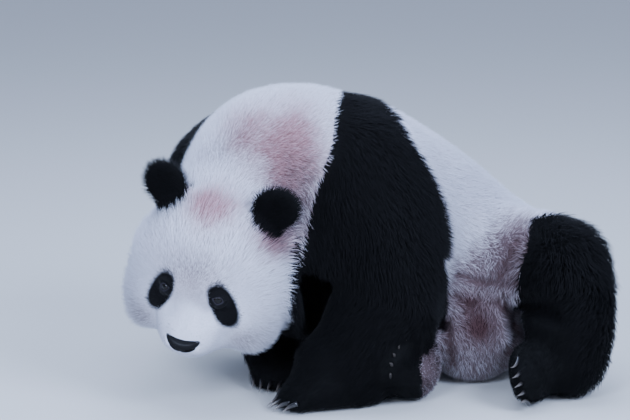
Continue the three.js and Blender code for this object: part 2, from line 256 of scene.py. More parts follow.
def off_chain(points: Array, chain: Array) -> Array:
    """Distance of points from a chain of straight links.

    Args:
        points: The points.
        chain: Ends of the links, one after the other.
    Returns:
        One distance for each point.
    """
    nearest = np.full(len(points), np.inf)
    for a, b in zip(chain, chain[1:]):
        t = np.clip((points - a) @ (b - a) / ((b - a) @ (b - a)), 0, 1)
        nearest = np.minimum(nearest, np.linalg.norm(points - a - t[:, None] * (b - a), axis=1))
    return nearest


def nearest_place(places: Array, points: Array) -> Array:
    """Finds the place that lies nearest to each point.

    Args:
        places: The places.
        points: The points.
    Returns:
        Number of a place for each point.
    """
    tree = KDTree(len(places))
    for number, place in enumerate(places):
        tree.insert(place, number)
    tree.balance()
    return np.array([tree.find(p)[1] for p in points])


def laid_flat(flow: Array, out: Array) -> Array:
    """Directions turned into the surface that faces out, as unit vectors."""
    return unit(flow - out * (flow * out).sum(1)[:, None])


def swung(flow: Array, out: Array, angle: Array) -> Array:
    """Directions along the surface, each swung off it by an angle."""
    return flow * np.cos(angle)[:, None] + out * np.sin(angle)[:, None]


# ---------------------------------------------------------------- meshes and pieces


def corner_normals(points: Array, faces: Array) -> Array:
    """Direction out of a mesh of triangles at each of its corners.

    Args:
        points: Corners.
        faces: Three corner numbers for each triangle.
    Returns:
        One unit vector for each corner.
    """
    a, b, c = (points[faces[:, k]] for k in range(3))
    square = np.cross(b - a, c - a)
    total = np.zeros_like(points)
    for k in range(3):
        for axis in range(3):
            total[:, axis] += np.bincount(faces[:, k], square[:, axis], len(total))
    return unit(total)


def closed_tube(rings: int, sides: int) -> Array:
    """Triangles of a tube that a corner of its own closes at each end.

    Args:
        rings: Number of rings of corners.
        sides: Number of corners in a ring.
    Returns:
        Three corner numbers for each triangle. The two end corners come after all the rings.
    """
    faces = []
    for start in range(0, (rings - 1) * sides, sides):
        for j in range(sides):
            a, b = start + j, start + (j + 1) % sides
            faces += [(a, b, b + sides), (a, b + sides, a + sides)]
    last, end = (rings - 1) * sides, rings * sides
    for j in range(sides):
        k = (j + 1) % sides
        faces += [(end, k, j), (end + 1, last + j, last + k)]
    return np.array(faces)


def grid_ball(rows: int, columns: int) -> tuple[Array, Array]:
    """Makes a ball of radius one with its poles along +Y.

    Args:
        rows: Bands from pole to pole.
        columns: Corners round it.
    Returns:
        Points and triangles.
    """
    theta = np.linspace(0, math.pi, rows + 1)[1:-1]
    phi = np.linspace(0, math.tau, columns, endpoint=False)
    t, p = np.meshgrid(theta, phi, indexing="ij")
    body = np.stack([np.sin(t) * np.cos(p), np.cos(t), np.sin(t) * np.sin(p)], axis=-1).reshape(-1, 3)
    return np.vstack([body, [(0, 1, 0), (0, -1, 0)]]), closed_tube(rows - 1, columns)


def add_object(name: str, data: bpy.types.ID) -> bpy.types.Object:
    """Puts a mesh, a lamp or a camera into the scene.

    Args:
        name: Name of the object.
        data: What it shows.
    Returns:
        The object.
    """
    made = bpy.data.objects.new(name, data)
    bpy.context.scene.collection.objects.link(made)
    return made


def mesh_object(name: str, points: Array, faces: Array, smooth: bool = True) -> bpy.types.Object:
    """Makes a mesh object of triangles.

    Args:
        name: Name of the object and its mesh.
        points: Corners, in metres.
        faces: Three corner numbers for each triangle.
        smooth: Whether the faces are shaded smooth.
    Returns:
        The object, linked to the scene.
    """
    mesh = bpy.data.meshes.new(name)
    mesh.vertices.add(len(points))
    mesh.vertices.foreach_set("co", np.ascontiguousarray(points, np.float32).ravel())
    mesh.loops.add(faces.size)
    mesh.loops.foreach_set("vertex_index", np.ascontiguousarray(faces, np.int32).ravel())
    mesh.polygons.add(len(faces))
    mesh.polygons.foreach_set("loop_start", np.arange(0, faces.size, 3, dtype=np.int32))
    mesh.polygons.foreach_set("use_smooth", np.full(len(faces), smooth))
    mesh.update(calc_edges=True)
    return add_object(name, mesh)


def put_values(piece: bpy.types.Object, **values: Array) -> None:
    """Stores numbers for each corner of a piece, by name.

    Args:
        piece: The piece.
        values: One number for each corner, for each name.
    """
    for name, numbers in values.items():
        attribute = piece.data.attributes.new(name, "FLOAT", "POINT")
        attribute.data.foreach_set("value", np.ascontiguousarray(numbers, np.float32))


def put_map(piece: bpy.types.Object, places: Array) -> None:
    """Stores the bake map of a piece made of triangles, one place for each corner of each face."""
    layer = piece.data.uv_layers.new(name=BAKE_MAP)
    layer.data.foreach_set("uv", np.ascontiguousarray(places, np.float32).ravel())


def settle_piece(piece: bpy.types.Object, material: bpy.types.Material, slot: str, *nodes: str) -> None:
    """Dresses a finished piece, and lets it ride on the animal and stand for its nodes.

    Args:
        piece: The finished piece.
        material: Its material.
        slot: Not used.
        nodes: Nodes that it replaces.
    """
    piece.data.materials.append(material)
    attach(piece, ROOT)
    if nodes:
        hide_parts(*nodes)
    log.info("%s: %d faces", piece.name, len(piece.data.polygons))


# ---------------------------------------------------------------- the head's own axes


@dataclass(frozen=True)
class Face:
    """Axes of the head, read from where its eyes and nose are. Inside, lengths are in millimetres."""

    origin: Array
    axes: Array

    EYE_FORWARD = 119.0
    EYE_RISE = 28.5
    NOSE_DROP = math.radians(43.1)

    @classmethod
    def of_frame(cls) -> "Face":
        """Finds the axes: side is to the animal's left, forward along the muzzle, rise out of the crown.

        Returns:
            The axes.
        """
        left, right, nose = mid("eye_left"), mid("eye_right"), mid("nose")
        side = unit(left - right)
        brow = (left + right) / 2
        drop = nose - brow
        drop = unit(drop - side * (drop @ side))
        square = np.cross(drop, side)
        forward = drop * math.cos(cls.NOSE_DROP) + square * math.sin(cls.NOSE_DROP)
        rise = np.cross(forward, side)
        origin = brow - (forward * cls.EYE_FORWARD + rise * cls.EYE_RISE) * MM
        return cls(origin, np.array([side, forward, rise]))

    def local(self, points: Array) -> Array:
        """Places as side, forward and rise from the middle of the skull, in millimetres."""
        return (points - self.origin) @ self.axes.T / MM

    def world(self, places: Array) -> Array:
        """Places in the row frame, in metres."""
        return self.origin + np.asarray(places, float) @ self.axes * MM


FACE = Face.of_frame()


def folded(at: Array) -> Array:
    """Places in the head's axes, with its right half laid over onto its left."""
    return np.column_stack([np.abs(at[:, 0]), at[:, 1], at[:, 2]])


@dataclass(frozen=True)
class Bump:
    """A round swelling, hollow or spot on both sides of the head, in its axes and in millimetres."""

    height: float
    centre: Triple
    radii: Triple

    def cover(self, at: Array) -> Array:
        """Its height at each place in the head's axes."""
        away = (folded(at) - np.array(self.centre)) / np.array(self.radii)
        return self.height * np.exp(-(away**2).sum(1))


@dataclass(frozen=True)
class Crease:
    """A groove or ridge along a chain of places on both sides of the head, in its axes and millimetres."""

    height: float
    width: float
    chain: tuple[Triple, ...]

    def cover(self, at: Array) -> Array:
        """Its height at each place in the head's axes."""
        return self.height * bell(off_chain(folded(at), np.array(self.chain, float)), self.width)


@dataclass(frozen=True)
class Stain:
    """A soft spot on the body: a node it is on, its place as shares of that node's box, and its radii."""

    node: str
    share: Triple
    radii: Triple
    strength: float

    def cover(self, points: Array) -> Array:
        """Strength of the spot at each point."""
        away = (points - within(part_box(self.node), self.share)) / (np.array(self.radii) * MM)
        return self.strength * np.exp(-(away**2).sum(1))


def covered(spots: tuple, at: Array) -> Array:
    """Sum of what some bumps, creases or stains make at each place."""
    return sum(spot.cover(at) for spot in spots)


# ---------------------------------------------------------------- eyes' openings, and folds


@dataclass
class Eye:
    """One eye: where it is, how it looks out and how its lids open.

    Lengths are in millimetres, angles in radians. radius is that of the eyeball, and proud, inwards and
    raised say how far its middle lies from that of the solid. corners says how much the opening narrows
    towards its corners, behind what it measures for places behind the eye, socket over what distance the
    skin gives way to the lids, and lid how far they stand off the eyeball, with a rim along their edge.
    Inside the opening the skin is sunk to a share of the eyeball's radius.
    """

    side: str
    radius: float = 12.5
    proud: float = 5.6
    inwards: float = 5.0
    raised: float = 6.0
    look: Triple = (0.40, 0.80, 0.44)
    width: float = math.radians(43)
    height: float = math.radians(29)
    slant: float = math.radians(-24)
    corners: float = 0.9
    behind: float = 9.0
    socket: tuple[float, float] = (30.0, 17.0)
    sidelong: float = 0.1
    lid: float = 1.5
    lid_slope: float = 2.2
    lid_reach: float = 3.0
    rim: float = 1.3
    rim_at: float = 1.22
    rim_width: float = 0.16
    sunk: float = 0.9

    def __post_init__(self) -> None:
        """Finds its middle, and the axes of the opening of its lids."""
        sign = 1 if self.side == "left" else -1
        place = FACE.local(mid(f"eye_{self.side}")[None])[0]
        self.centre = place + (-self.inwards * sign, self.proud, self.proud + self.raised)
        self.gaze = unit(np.array(self.look) * (sign, 1, 1))
        level = unit(np.cross((0, 0, 1), self.gaze)) * -sign
        up = unit(np.cross(self.gaze, level))
        up = up if up[2] > 0 else -up
        self.across = level * math.cos(self.slant) + up * math.sin(self.slant)
        self.up = up * math.cos(self.slant) - level * math.sin(self.slant)

    def opening(self, at: Array) -> tuple[Array, Array]:
        """How far out of the lids' opening each place is, and its distance from the eye's middle.

        Args:
            at: Places in the head's axes.
        Returns:
            A measure that is 1 on the lids' edge, and the distance in millimetres.
        """
        away = at - self.centre
        distance = np.linalg.norm(away, axis=1)
        ahead = away @ self.gaze
        across = np.arctan2(away @ self.across, ahead) / self.width
        upward = np.arctan2(away @ self.up, ahead) / self.height
        measure = np.sqrt(across**2 + upward**2 * (1 + self.corners * across**2))
        return np.where(ahead > 0, measure, self.behind), distance

    def lidded(self, at: Array) -> Array:
        """Draws the skin over the eyeball and opens the lids.

        Args:
            at: Corners of the skin in the head's axes.
        Returns:
            The corners, with those near the eye moved towards or away from its middle.
        """
        measure, distance = self.opening(at)
        away = (at - self.centre) / np.maximum(distance, 1e-6)[:, None]
        ahead = away @ self.gaze
        beside = np.sqrt(np.clip(1 - ahead**2, 0, 1)) * distance
        near = smoothstep(*self.socket, beside) * (ahead > self.sidelong)
        inside = (measure < 1.0) & (near > 0)
        rim = self.rim * bell(measure - self.rim_at, self.rim_width)
        lid = self.radius + self.lid + rim + self.lid_slope * np.clip(measure - 1.0, 0, self.lid_reach)
        wanted = np.where(inside, self.radius * self.sunk, lid)
        near = np.where(inside, 1.0, near)
        radius = distance + (wanted - distance) * near
        return np.where((near > 0)[:, None], self.centre + away * radius[:, None], at)


EYES = [Eye("left"), Eye("right")]

# From the top: brow ridge, hollow beside the bridge, groove up the brow, whisker pad, side of the muzzle,
# hollow beside it, mouth, lower lip, wing of the nostril, and the low part of the cheek.
RELIEF = (
    Bump(3.5, (48, 122, 62), (30, 40, 16)),
    Bump(-5.0, (33, 140, 12), (16, 30, 26)),
    Bump(-3.0, (0, 128, 70), (16, 40, 34)),
    Bump(4.0, (27, 178, -62), (24, 26, 18)),
    Bump(7.0, (26, 160, -30), (36, 34, 34)),
    Bump(-9.0, (76, 132, -46), (17, 40, 30)),
    Crease(-3.5, 3.4, ((0, 196, -50), (0, 190, -76), (16, 180, -86), (36, 160, -94), (52, 136, -96))),
    Crease(2.6, 9.0, ((0, 184, -92), (20, 176, -98), (40, 158, -106))),
    Crease(-2.5, 6.0, ((24, 192, -34), (30, 184, -20))),
    Bump(15.0, (118, 108, -92), (44, 46, 30)),
)


@dataclass(frozen=True)
class Fold:
    """A fold of the groin: places as shares of the rump's box, and its width and depth in millimetres."""

    chain: tuple[Triple, ...]
    width: float
    depth: float

    FLATTEN = np.array((1.0, 0.35, 1.0))
    GROOVE = 1.5
    SWELLING = 0.7
    SWELLING_SPREAD = 2.4

    def cover(self, points: Array, spread: float = 1.0) -> Array:
        """1 along the fold, falling to 0 beside it, for points in metres and a share of its width."""
        chain = within(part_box("rump"), self.chain) * self.FLATTEN
        return bell(off_chain(points * self.FLATTEN, chain), self.width * spread * MM)

    def lift(self, points: Array) -> Array:
        """How far the skin is pressed in along the fold and swells beside it, in millimetres."""
        swelling = self.SWELLING * self.cover(points, self.SWELLING_SPREAD)
        return self.depth * (swelling - self.GROOVE * self.cover(points))


FOLDS = (
    Fold(((0.70, 0.0, 0.86), (0.645, 0.0, 0.74), (0.606, 0.01, 0.65)), 9.0, 6.0),
    Fold(((0.40, 0.02, 0.64), (0.473, 0.05, 0.61), (0.536, 0.04, 0.60), (0.607, 0.01, 0.62),
          (0.69, -0.04, 0.61)), 7.0, 5.0),
    Fold(((0.384, 0.02, 0.54), (0.43, 0.06, 0.49), (0.475, 0.05, 0.46), (0.515, 0.05, 0.50)), 7.0, 4.0),
    Fold(((0.452, 0.06, 0.43), (0.49, 0.05, 0.46)), 9.0, 4.0),
    Fold(((0.60, 0.05, 0.50), (0.637, 0.06, 0.44), (0.679, 0.145, 0.30), (0.643, 0.09, 0.21)), 6.0, 3.0),
    Fold(((0.373, 0.03, 0.39), (0.375, 0.05, 0.255), (0.397, 0.085, 0.154)), 7.0, 5.0),
)


# ---------------------------------------------------------------- skin


@dataclass
class Skin:
    """The animal's skin, with what the coat needs to know about each of its corners.

    voxel, swell and the limits of true_up are in metres, places and reaches on the head in millimetres.
    Names with rounds say how often a value is spread over the skin. The coat is thinner by shallow_face on
    the face and thicker again by deep_ruff on the ruff, which grows with the distance from the snout.
    """

    points: Array
    faces: Array
    region: Array
    nodes: list[str]
    normals: Array | None = None
    depth: Array | None = None
    dark: Array | None = None

    voxel: float = 6.2 * MM
    swell: float = 0.6 * MM
    facet_rounds: int = 64
    polish_rounds: int = 12
    region_rounds: int = 10
    head_rounds: int = 4
    sunk_rounds: int = 4
    true_up_rounds: int = 40
    fine_rounds: int = 8
    groin_rounds: int = 6
    flow_rounds: int = 26
    shallow_face: float = 0.6
    deep_ruff: float = 0.9
    true_up: tuple[float, float] = (-0.004, 0.012)
    true_up_reach: float = 2.6
    snout: Triple = (0, 150, -10)
    ruff_from: float = 85
    ruff_to: float = 190
    fine_middle: Triple = (0, 120, -20)
    fine_reach: float = 112.0
    fine_core: float = 90.0
    lid_reaches: tuple[float, float] = (34.0, 21.0)
    face_from: float = 20.0
    buttock: Stain = Stain("rump", (0.68, 0.18, 0.30), (38, 90, 60), 36.0)
    nose_tip: Triple = (0, 205, -45)
    cheeks_fan: float = 1.25
    head_sag: float = 0.25
    swirls: tuple[Ripple, ...] = tuple(Ripple(0.16, seed, 0.22) for seed in (5, 6, 7))
    bare_face: float = 0.85

    @classmethod
    def over_flesh(cls, nodes: list[str]) -> "Skin":
        """Draws one closed skin round all the nodes of flesh, and lays it inside them by the coat's depth.

        Args:
            nodes: The nodes that it stands for.
        Returns:
            The skin, with the folds of face and groin in it.
        """
        raw = bmesh.new()
        for node in nodes + ["eye_left", "eye_right"]:
            raw.from_mesh(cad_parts[node].data)
        bmesh.ops.remove_doubles(raw, verts=raw.verts, dist=1e-6)
        raw.normal_update()
        for vert in raw.verts:
            vert.co += vert.normal * cls.swell
        shell = bpy.data.meshes.new("shell")
        raw.to_mesh(shell)
        raw.free()
        holder = add_object("shell", shell)
        remesh = holder.modifiers.new("one_skin", "REMESH")
        remesh.mode = "VOXEL"
        remesh.voxel_size = cls.voxel
        graph = bpy.context.evaluated_depsgraph_get()
        whole = bpy.data.meshes.new_from_object(holder.evaluated_get(graph))
        bpy.data.objects.remove(holder)
        points, faces = cls._triangles(whole)
        skin = cls(points, faces, cls._nearest_node(points, nodes), nodes)
        skin._keep_largest()
        skin._settle()
        skin._refine()
        skin._fold_face()
        skin._fold_groin()
        log.info("skin: %d corners, %d faces", len(skin.points), len(skin.faces))
        return skin

    @staticmethod
    def _triangles(whole: bpy.types.Mesh) -> tuple[Array, Array]:
        """Reads a mesh as triangles.

        Args:
            whole: The mesh.
        Returns:
            Corners, and three corner numbers for each triangle.
        """
        work = bmesh.new()
        work.from_mesh(whole)
        bmesh.ops.triangulate(work, faces=work.faces)
        fine = bpy.data.meshes.new("fine")
        work.to_mesh(fine)
        work.free()
        points = np.empty(len(fine.vertices) * 3, np.float32)
        fine.vertices.foreach_get("co", points)
        faces = np.empty(len(fine.polygons) * 3, np.int32)
        fine.loops.foreach_get("vertex_index", faces)
        return points.reshape(-1, 3).astype(float), faces.reshape(-1, 3)

    @staticmethod
    def _nearest_node(points: Array, nodes: list[str]) -> Array:
        """Finds the node that each point lies nearest to.

        Args:
            points: The points.
            nodes: Names of the nodes.
        Returns:
            Number of a node for each point.
        """
        corners, polygons, owner = [], [], []
        for number, node in enumerate(nodes):
            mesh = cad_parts[node].data
            start = len(corners)
            corners += [tuple(v.co) for v in mesh.vertices]
            polygons += [[start + i for i in p.vertices] for p in mesh.polygons]
            owner += [number] * len(mesh.polygons)
        tree = BVHTree.FromPolygons(corners, polygons)
        return np.array([owner[tree.find_nearest(p)[2]] for p in points])

    def _keep_largest(self) -> None:
        """Drops stray shells that the joining may leave inside."""
        label = np.arange(len(self.points))
        edges = self.edges
        while True:
            low = np.minimum(label[edges[:, 0]], label[edges[:, 1]])
            fresh = label.copy()
            np.minimum.at(fresh, edges[:, 0], low)
            np.minimum.at(fresh, edges[:, 1], low)
            fresh = fresh[fresh]
            if np.array_equal(fresh, label):
                break
            label = fresh
        kept = label == np.bincount(label).argmax()
        number = np.cumsum(kept) - 1
        self.faces = number[self.faces[kept[self.faces[:, 0]]]]
        self.points = self.points[kept]
        self.region = self.region[kept]

    def on(self, *nodes: str) -> Array:
        """Whether each corner lies on one of some nodes."""
        return np.isin(self.region, [self.nodes.index(node) for node in nodes])

    def head_share(self) -> Array:
        """1 on the head and 0 elsewhere."""
        return self.on("head").astype(float)

    def trait(self, name: str, rounds: int | None = None) -> Array:
        """A number of the coat for each corner, by its region, where regions run into each other."""
        table = np.array([float(getattr(PELAGE[family(node)], name)) for node in self.nodes])
        return self.smoothed(table[self.region], rounds or self.region_rounds)

    def ruff(self) -> Array:
        """Grows from 0 on the muzzle to 1 on the cheeks and the back of the head."""
        away = (FACE.local(self.points) - self.snout) / (1.0, 1.0, 0.9)
        return smoothstep(self.ruff_from, self.ruff_to, np.linalg.norm(away, axis=1))

    def face_factor(self, less: float, more: float) -> Array:
        """1 off the head, less by one share on the face, and more again by the other on the ruff."""
        head = self.smoothed(self.head_share(), self.head_rounds)
        return 1 + head * (-less + more * self.ruff())

    def raise_by(self, lift: Array) -> None:
        """Moves each corner out of the skin by so many millimetres."""
        self.points = self.points + self.normals * lift[:, None] * MM

    def _settle(self) -> None:
        """Rounds off the facets of the solids and lays the skin inside the outline by the coat's depth."""
        outline = BVHTree.FromPolygons(self.points.tolist(), self.faces.tolist())
        polish = self.trait("polish", self.polish_rounds)
        self.points = self.smoothed(self.points, self.facet_rounds, polish)
        self.dark = self.trait("black")
        self.depth = self.trait("depth") * self.face_factor(self.shallow_face, self.deep_ruff)
        self.find_normals()
        self.raise_by(-self.depth)
        self.points = self.smoothed(self.points, self.sunk_rounds)
        self._true_up(outline)

    def _true_up(self, outline: BVHTree) -> None:
        """Makes up for what the smoothing took off, so that the tips of the coat reach the outline.

        Args:
            outline: The skin as it was on the outline.
        """
        self.find_normals()
        reach = self.true_up_reach * self.depth * MM + self.true_up[1]
        gap = np.zeros(len(self.points))
        for number, (place, out) in enumerate(zip(self.points, self.normals)):
            hit = outline.ray_cast(place, out, reach[number])
            gap[number] = self.depth[number] * MM if hit[0] is None else hit[3]
        short = self.smoothed(np.clip(gap - self.depth * MM, *self.true_up), self.true_up_rounds)
        self.points = self.points + self.normals * short[:, None]
        self.find_normals()

    def _refine(self) -> None:
        """Splits the faces of the face, and more finely those round the eyes, into smaller ones."""
        mesh = bpy.data.meshes.new("coarse")
        mesh.from_pydata(self.points.tolist(), [], self.faces.tolist())
        work = bmesh.new()
        work.from_mesh(mesh)
        targets = [(np.array(self.fine_middle), self.fine_reach)]
        targets += [(eye.centre, reach) for reach in self.lid_reaches for eye in EYES]
        for centre, reach in targets:
            place = Vector(FACE.world(centre))
            near = [f for f in work.faces if (f.calc_center_median() - place).length < reach * MM]
            edges = list({e for f in near for e in f.edges})
            bmesh.ops.subdivide_edges(work, edges=edges, cuts=1, use_grid_fill=True)
            bmesh.ops.triangulate(work, faces=work.faces)
        fine = bpy.data.meshes.new("fine")
        work.to_mesh(fine)
        work.free()
        coarse = self.points
        self.points, self.faces = self._triangles(fine)
        near = nearest_place(coarse, self.points)
        self.region, self.dark, self.depth = self.region[near], self.dark[near], self.depth[near]
        away = np.linalg.norm(FACE.local(self.points) - self.fine_middle, axis=1)
        finer = smoothstep(self.fine_reach, self.fine_core, away)
        self.points = self.smoothed(self.points, self.fine_rounds, finer)
        self.find_normals()

    def _fold_face(self) -> None:
        """Works brow, cheeks, muzzle, mouth, nostril hollows and lids into the face."""
        at = FACE.local(self.points)
        self.raise_by(covered(RELIEF, at) * (self.on("head") & (at[:, 1] > self.face_from)))
        for eye in EYES:
            self.points = FACE.world(eye.lidded(FACE.local(self.points)))
        self.find_normals()

    def _fold_groin(self) -> None:
        """Presses the folds between belly and thigh into the skin, with a low swelling on either side."""
        soft = self.smoothed(self.on("rump", "trunk", "tail").astype(float), self.groin_rounds)
        self.raise_by(sum(fold.lift(self.points) for fold in FOLDS) * soft)
        self.points[:, 1] -= self.buttock.cover(self.points) * soft * MM
        self.find_normals()

    def smoothed(self, values: Array, rounds: int, weight: Array | float = 1.0) -> Array:
        """Spreads values over the skin, each half-way towards the mean of its neighbours.

        Args:
            values: One value or vector for each corner.
            rounds: How often.
            weight: How far each corner gives way, from 0 to 1.
        Returns:
            The smoothed values.
        """
        a, b = self.edges.T
        size = len(self.points)
        count = np.bincount(np.concatenate([a, b]), minlength=size)
        flat = values.reshape(size, -1).astype(float)
        share = 0.5 * np.broadcast_to(weight, (size,))
        for _ in range(rounds):
            for k in range(flat.shape[1]):
                v = flat[:, k]
                total = np.bincount(a, v[b], size) + np.bincount(b, v[a], size)
                flat[:, k] = v + share * (total / count - v)
        return flat.reshape(values.shape)

    @property
    def edges(self) -> Array:
        """Each edge once, as two corner numbers.

        Returns:
            Two columns, the smaller number first.
        """
        pairs = np.concatenate([self.faces[:, [0, 1]], self.faces[:, [1, 2]], self.faces[:, [2, 0]]])
        low, high = pairs.min(1).astype(np.int64), pairs.max(1)
        keys = np.unique(low * len(self.points) + high)
        return np.column_stack([keys // len(self.points), keys % len(self.points)])

    def find_normals(self) -> None:
        """Works out the direction out of the skin at each corner."""
        self.normals = corner_normals(self.points, self.faces)

    def lie(self) -> Array:
        """Works out which way the coat lies at each corner.

        Returns:
            Unit vectors along the skin.
        """
        flow = np.array([STREAMS.heading(node) for node in self.nodes])[self.region]
        muzzle = FACE.local(self.points) - self.nose_tip
        muzzle[:, 0] *= self.cheeks_fan
        head_flow = unit(unit(muzzle) @ FACE.axes + np.array([0, 0, -self.head_sag]))
        flow = self.smoothed(np.where(self.on("head")[:, None], head_flow, flow), self.flow_rounds)
        swirl = np.column_stack([ripple.cover(self.points) for ripple in self.swirls])
        return laid_flat(unit(flow) + swirl, self.normals)

    def build(self, markings: "Markings", fur: bpy.types.Material) -> None:
        """Makes the skin's own mesh.

        Args:
            markings: Colours of the coat over the skin.
            fur: Material that skin and coat share.
        """
        piece = mesh_object("skin", self.points, self.faces)
        along = self.bare_face * self.head_share() * (1 - self.ruff())
        put_values(piece, **markings.values, along=along, tone=np.full(len(self.points), 0.5))
        settle_piece(piece, fur, "white_coat", *self.nodes)


class Streams:
    """Which way the coat lies on each node: from one node towards another, and down under its own weight."""

    ROUTES = {
        "neck": ("head", "trunk", 0.35),
        "trunk": ("neck", "rump", 0.0),
        "rump": ("trunk", "tail", 0.3),
        "tail": ("rump", "tail", 0.2),
        "breast": ("neck", "breast", 0.5),
        "shoulder": ("shoulder", "forearm", 0.2),
        "forearm": ("forearm", "forepaw", 0.2),
        "forepaw": ("forepaw", "forepaw_claw_3", 0.0),
        "thigh": ("thigh", "shank", 0.1),
        "shank": ("shank", "hindfoot", 0.1),
        "hindfoot": ("hindfoot", "hindfoot_claw_3", 0.0),
        "ear": ("head", "ear", 0.0),
        "head": ("nose", "neck", 0.0),
    }
    UNPAIRED = ("head", "neck", "trunk", "rump", "tail", "breast", "nose")
    BACKWARDS = 0.6

    def _sided(self, name: str, side: str) -> str:
        """Finds the node of a name on one side of the body.

        Args:
            name: Name of a node without its side.
            side: left, right or nothing.
        Returns:
            The node's own name.
        """
        if not side or name in self.UNPAIRED:
            return name
        return name.replace("_claw", f"_{side}_claw") if "_claw" in name else f"{name}_{side}"

    def heading(self, node: str) -> Array:
        """Works out which way the coat of a node lies.

        Args:
            node: The node.
        Returns:
            A unit vector in the row frame.
        """
        side = "left" if node.endswith("left") else "right" if node.endswith("right") else ""
        start, end, weight = self.ROUTES[family(node)]
        away = unit(mid(self._sided(end, side)) - mid(self._sided(start, side)))
        if family(node) == "shoulder":
            away = away + self.BACKWARDS * unit(mid("rump") - mid("neck"))
        return unit(away + np.array([0, 0, -weight]))


STREAMS = Streams()


# ---------------------------------------------------------------- markings


@dataclass(frozen=True)
class Patch:
    """A black patch round the eye, slanting down and outwards. Millimetres in the head's axes.

    It is seen square to the face, which leans back by the two shares of tilt, and lies in front of front.
    power tells how square its ends are.
    """

    side: float = 63.5
    climb: float = -56.0
    length: float = 49.5
    width: float = 24.0
    slant: float = math.radians(24)
    tilt: tuple[float, float] = (0.8, 0.6)
    front: float = 60.0
    power: float = 2.3

    def cover(self, at: Array) -> Array:
        """Finds where the patch is.

        Args:
            at: Places in the head's axes.
        Returns:
            1 in the middle of the patch, 0.5 on its edge and 0 outside.
        """
        across = np.abs(at[:, 0]) - self.side
        upward = self.tilt[0] * at[:, 2] - self.tilt[1] * at[:, 1] - self.climb
        long = -upward * math.cos(self.slant) + across * math.sin(self.slant)
        wide = across * math.cos(self.slant) + upward * math.sin(self.slant)
        total = np.abs(long / self.length) ** self.power + np.abs(wide / self.width) ** self.power
        away = np.sqrt(total) ** (2 / self.power)
        return np.where(at[:, 1] > self.front, np.clip(1.0 - 0.5 * away, 0, 1), 0.0)


@dataclass(frozen=True)
class Edge:
    """An edge of the black band over the shoulders, seen from the side.

    chain holds height and length of places on it, as shares of the whole animal. reach says how far over
    the ridge to the far side it holds and fade over what distance it ends there, in metres, and foot over
    what share of the animal's height it ends below.
    """

    reach: float
    chain: tuple[tuple[float, float], ...]
    fade: float = 0.08
    foot: float = 0.05

    def past(self, skin: Skin) -> tuple[Array, Array]:
        """How far each corner of the skin lies behind the edge.

        Args:
            skin: The skin.
        Returns:
            Metres behind the edge, and the share by which the edge holds there.
        """
        share = shares_of(FRAME_BOX, skin.points)
        heights, lengths = zip(*self.chain)
        past = share[:, 0] - np.interp(share[:, 2], heights, lengths)
        holds = smoothstep(self.reach, self.reach - self.fade, skin.points[:, 1])
        holds = holds * smoothstep(heights[0] - self.foot, heights[0], share[:, 2])
        behind = past * (FRAME_BOX[1][0] - FRAME_BOX[0][0])
        return behind, holds * skin.on("neck", "trunk", "shoulder_left", "shoulder_right")


COLLAR = Edge(0.22, ((0.32, 0.323), (0.484, 0.353), (0.547, 0.364), (0.677, 0.383), (0.74, 0.395),
                     (0.804, 0.413), (0.86, 0.423), (0.964, 0.430)))
SADDLE = Edge(0.18, ((0.494, 0.660), (0.558, 0.656), (0.656, 0.638), (0.716, 0.622), (0.781, 0.598),
                     (0.841, 0.570), (0.898, 0.541), (0.955, 0.478)))


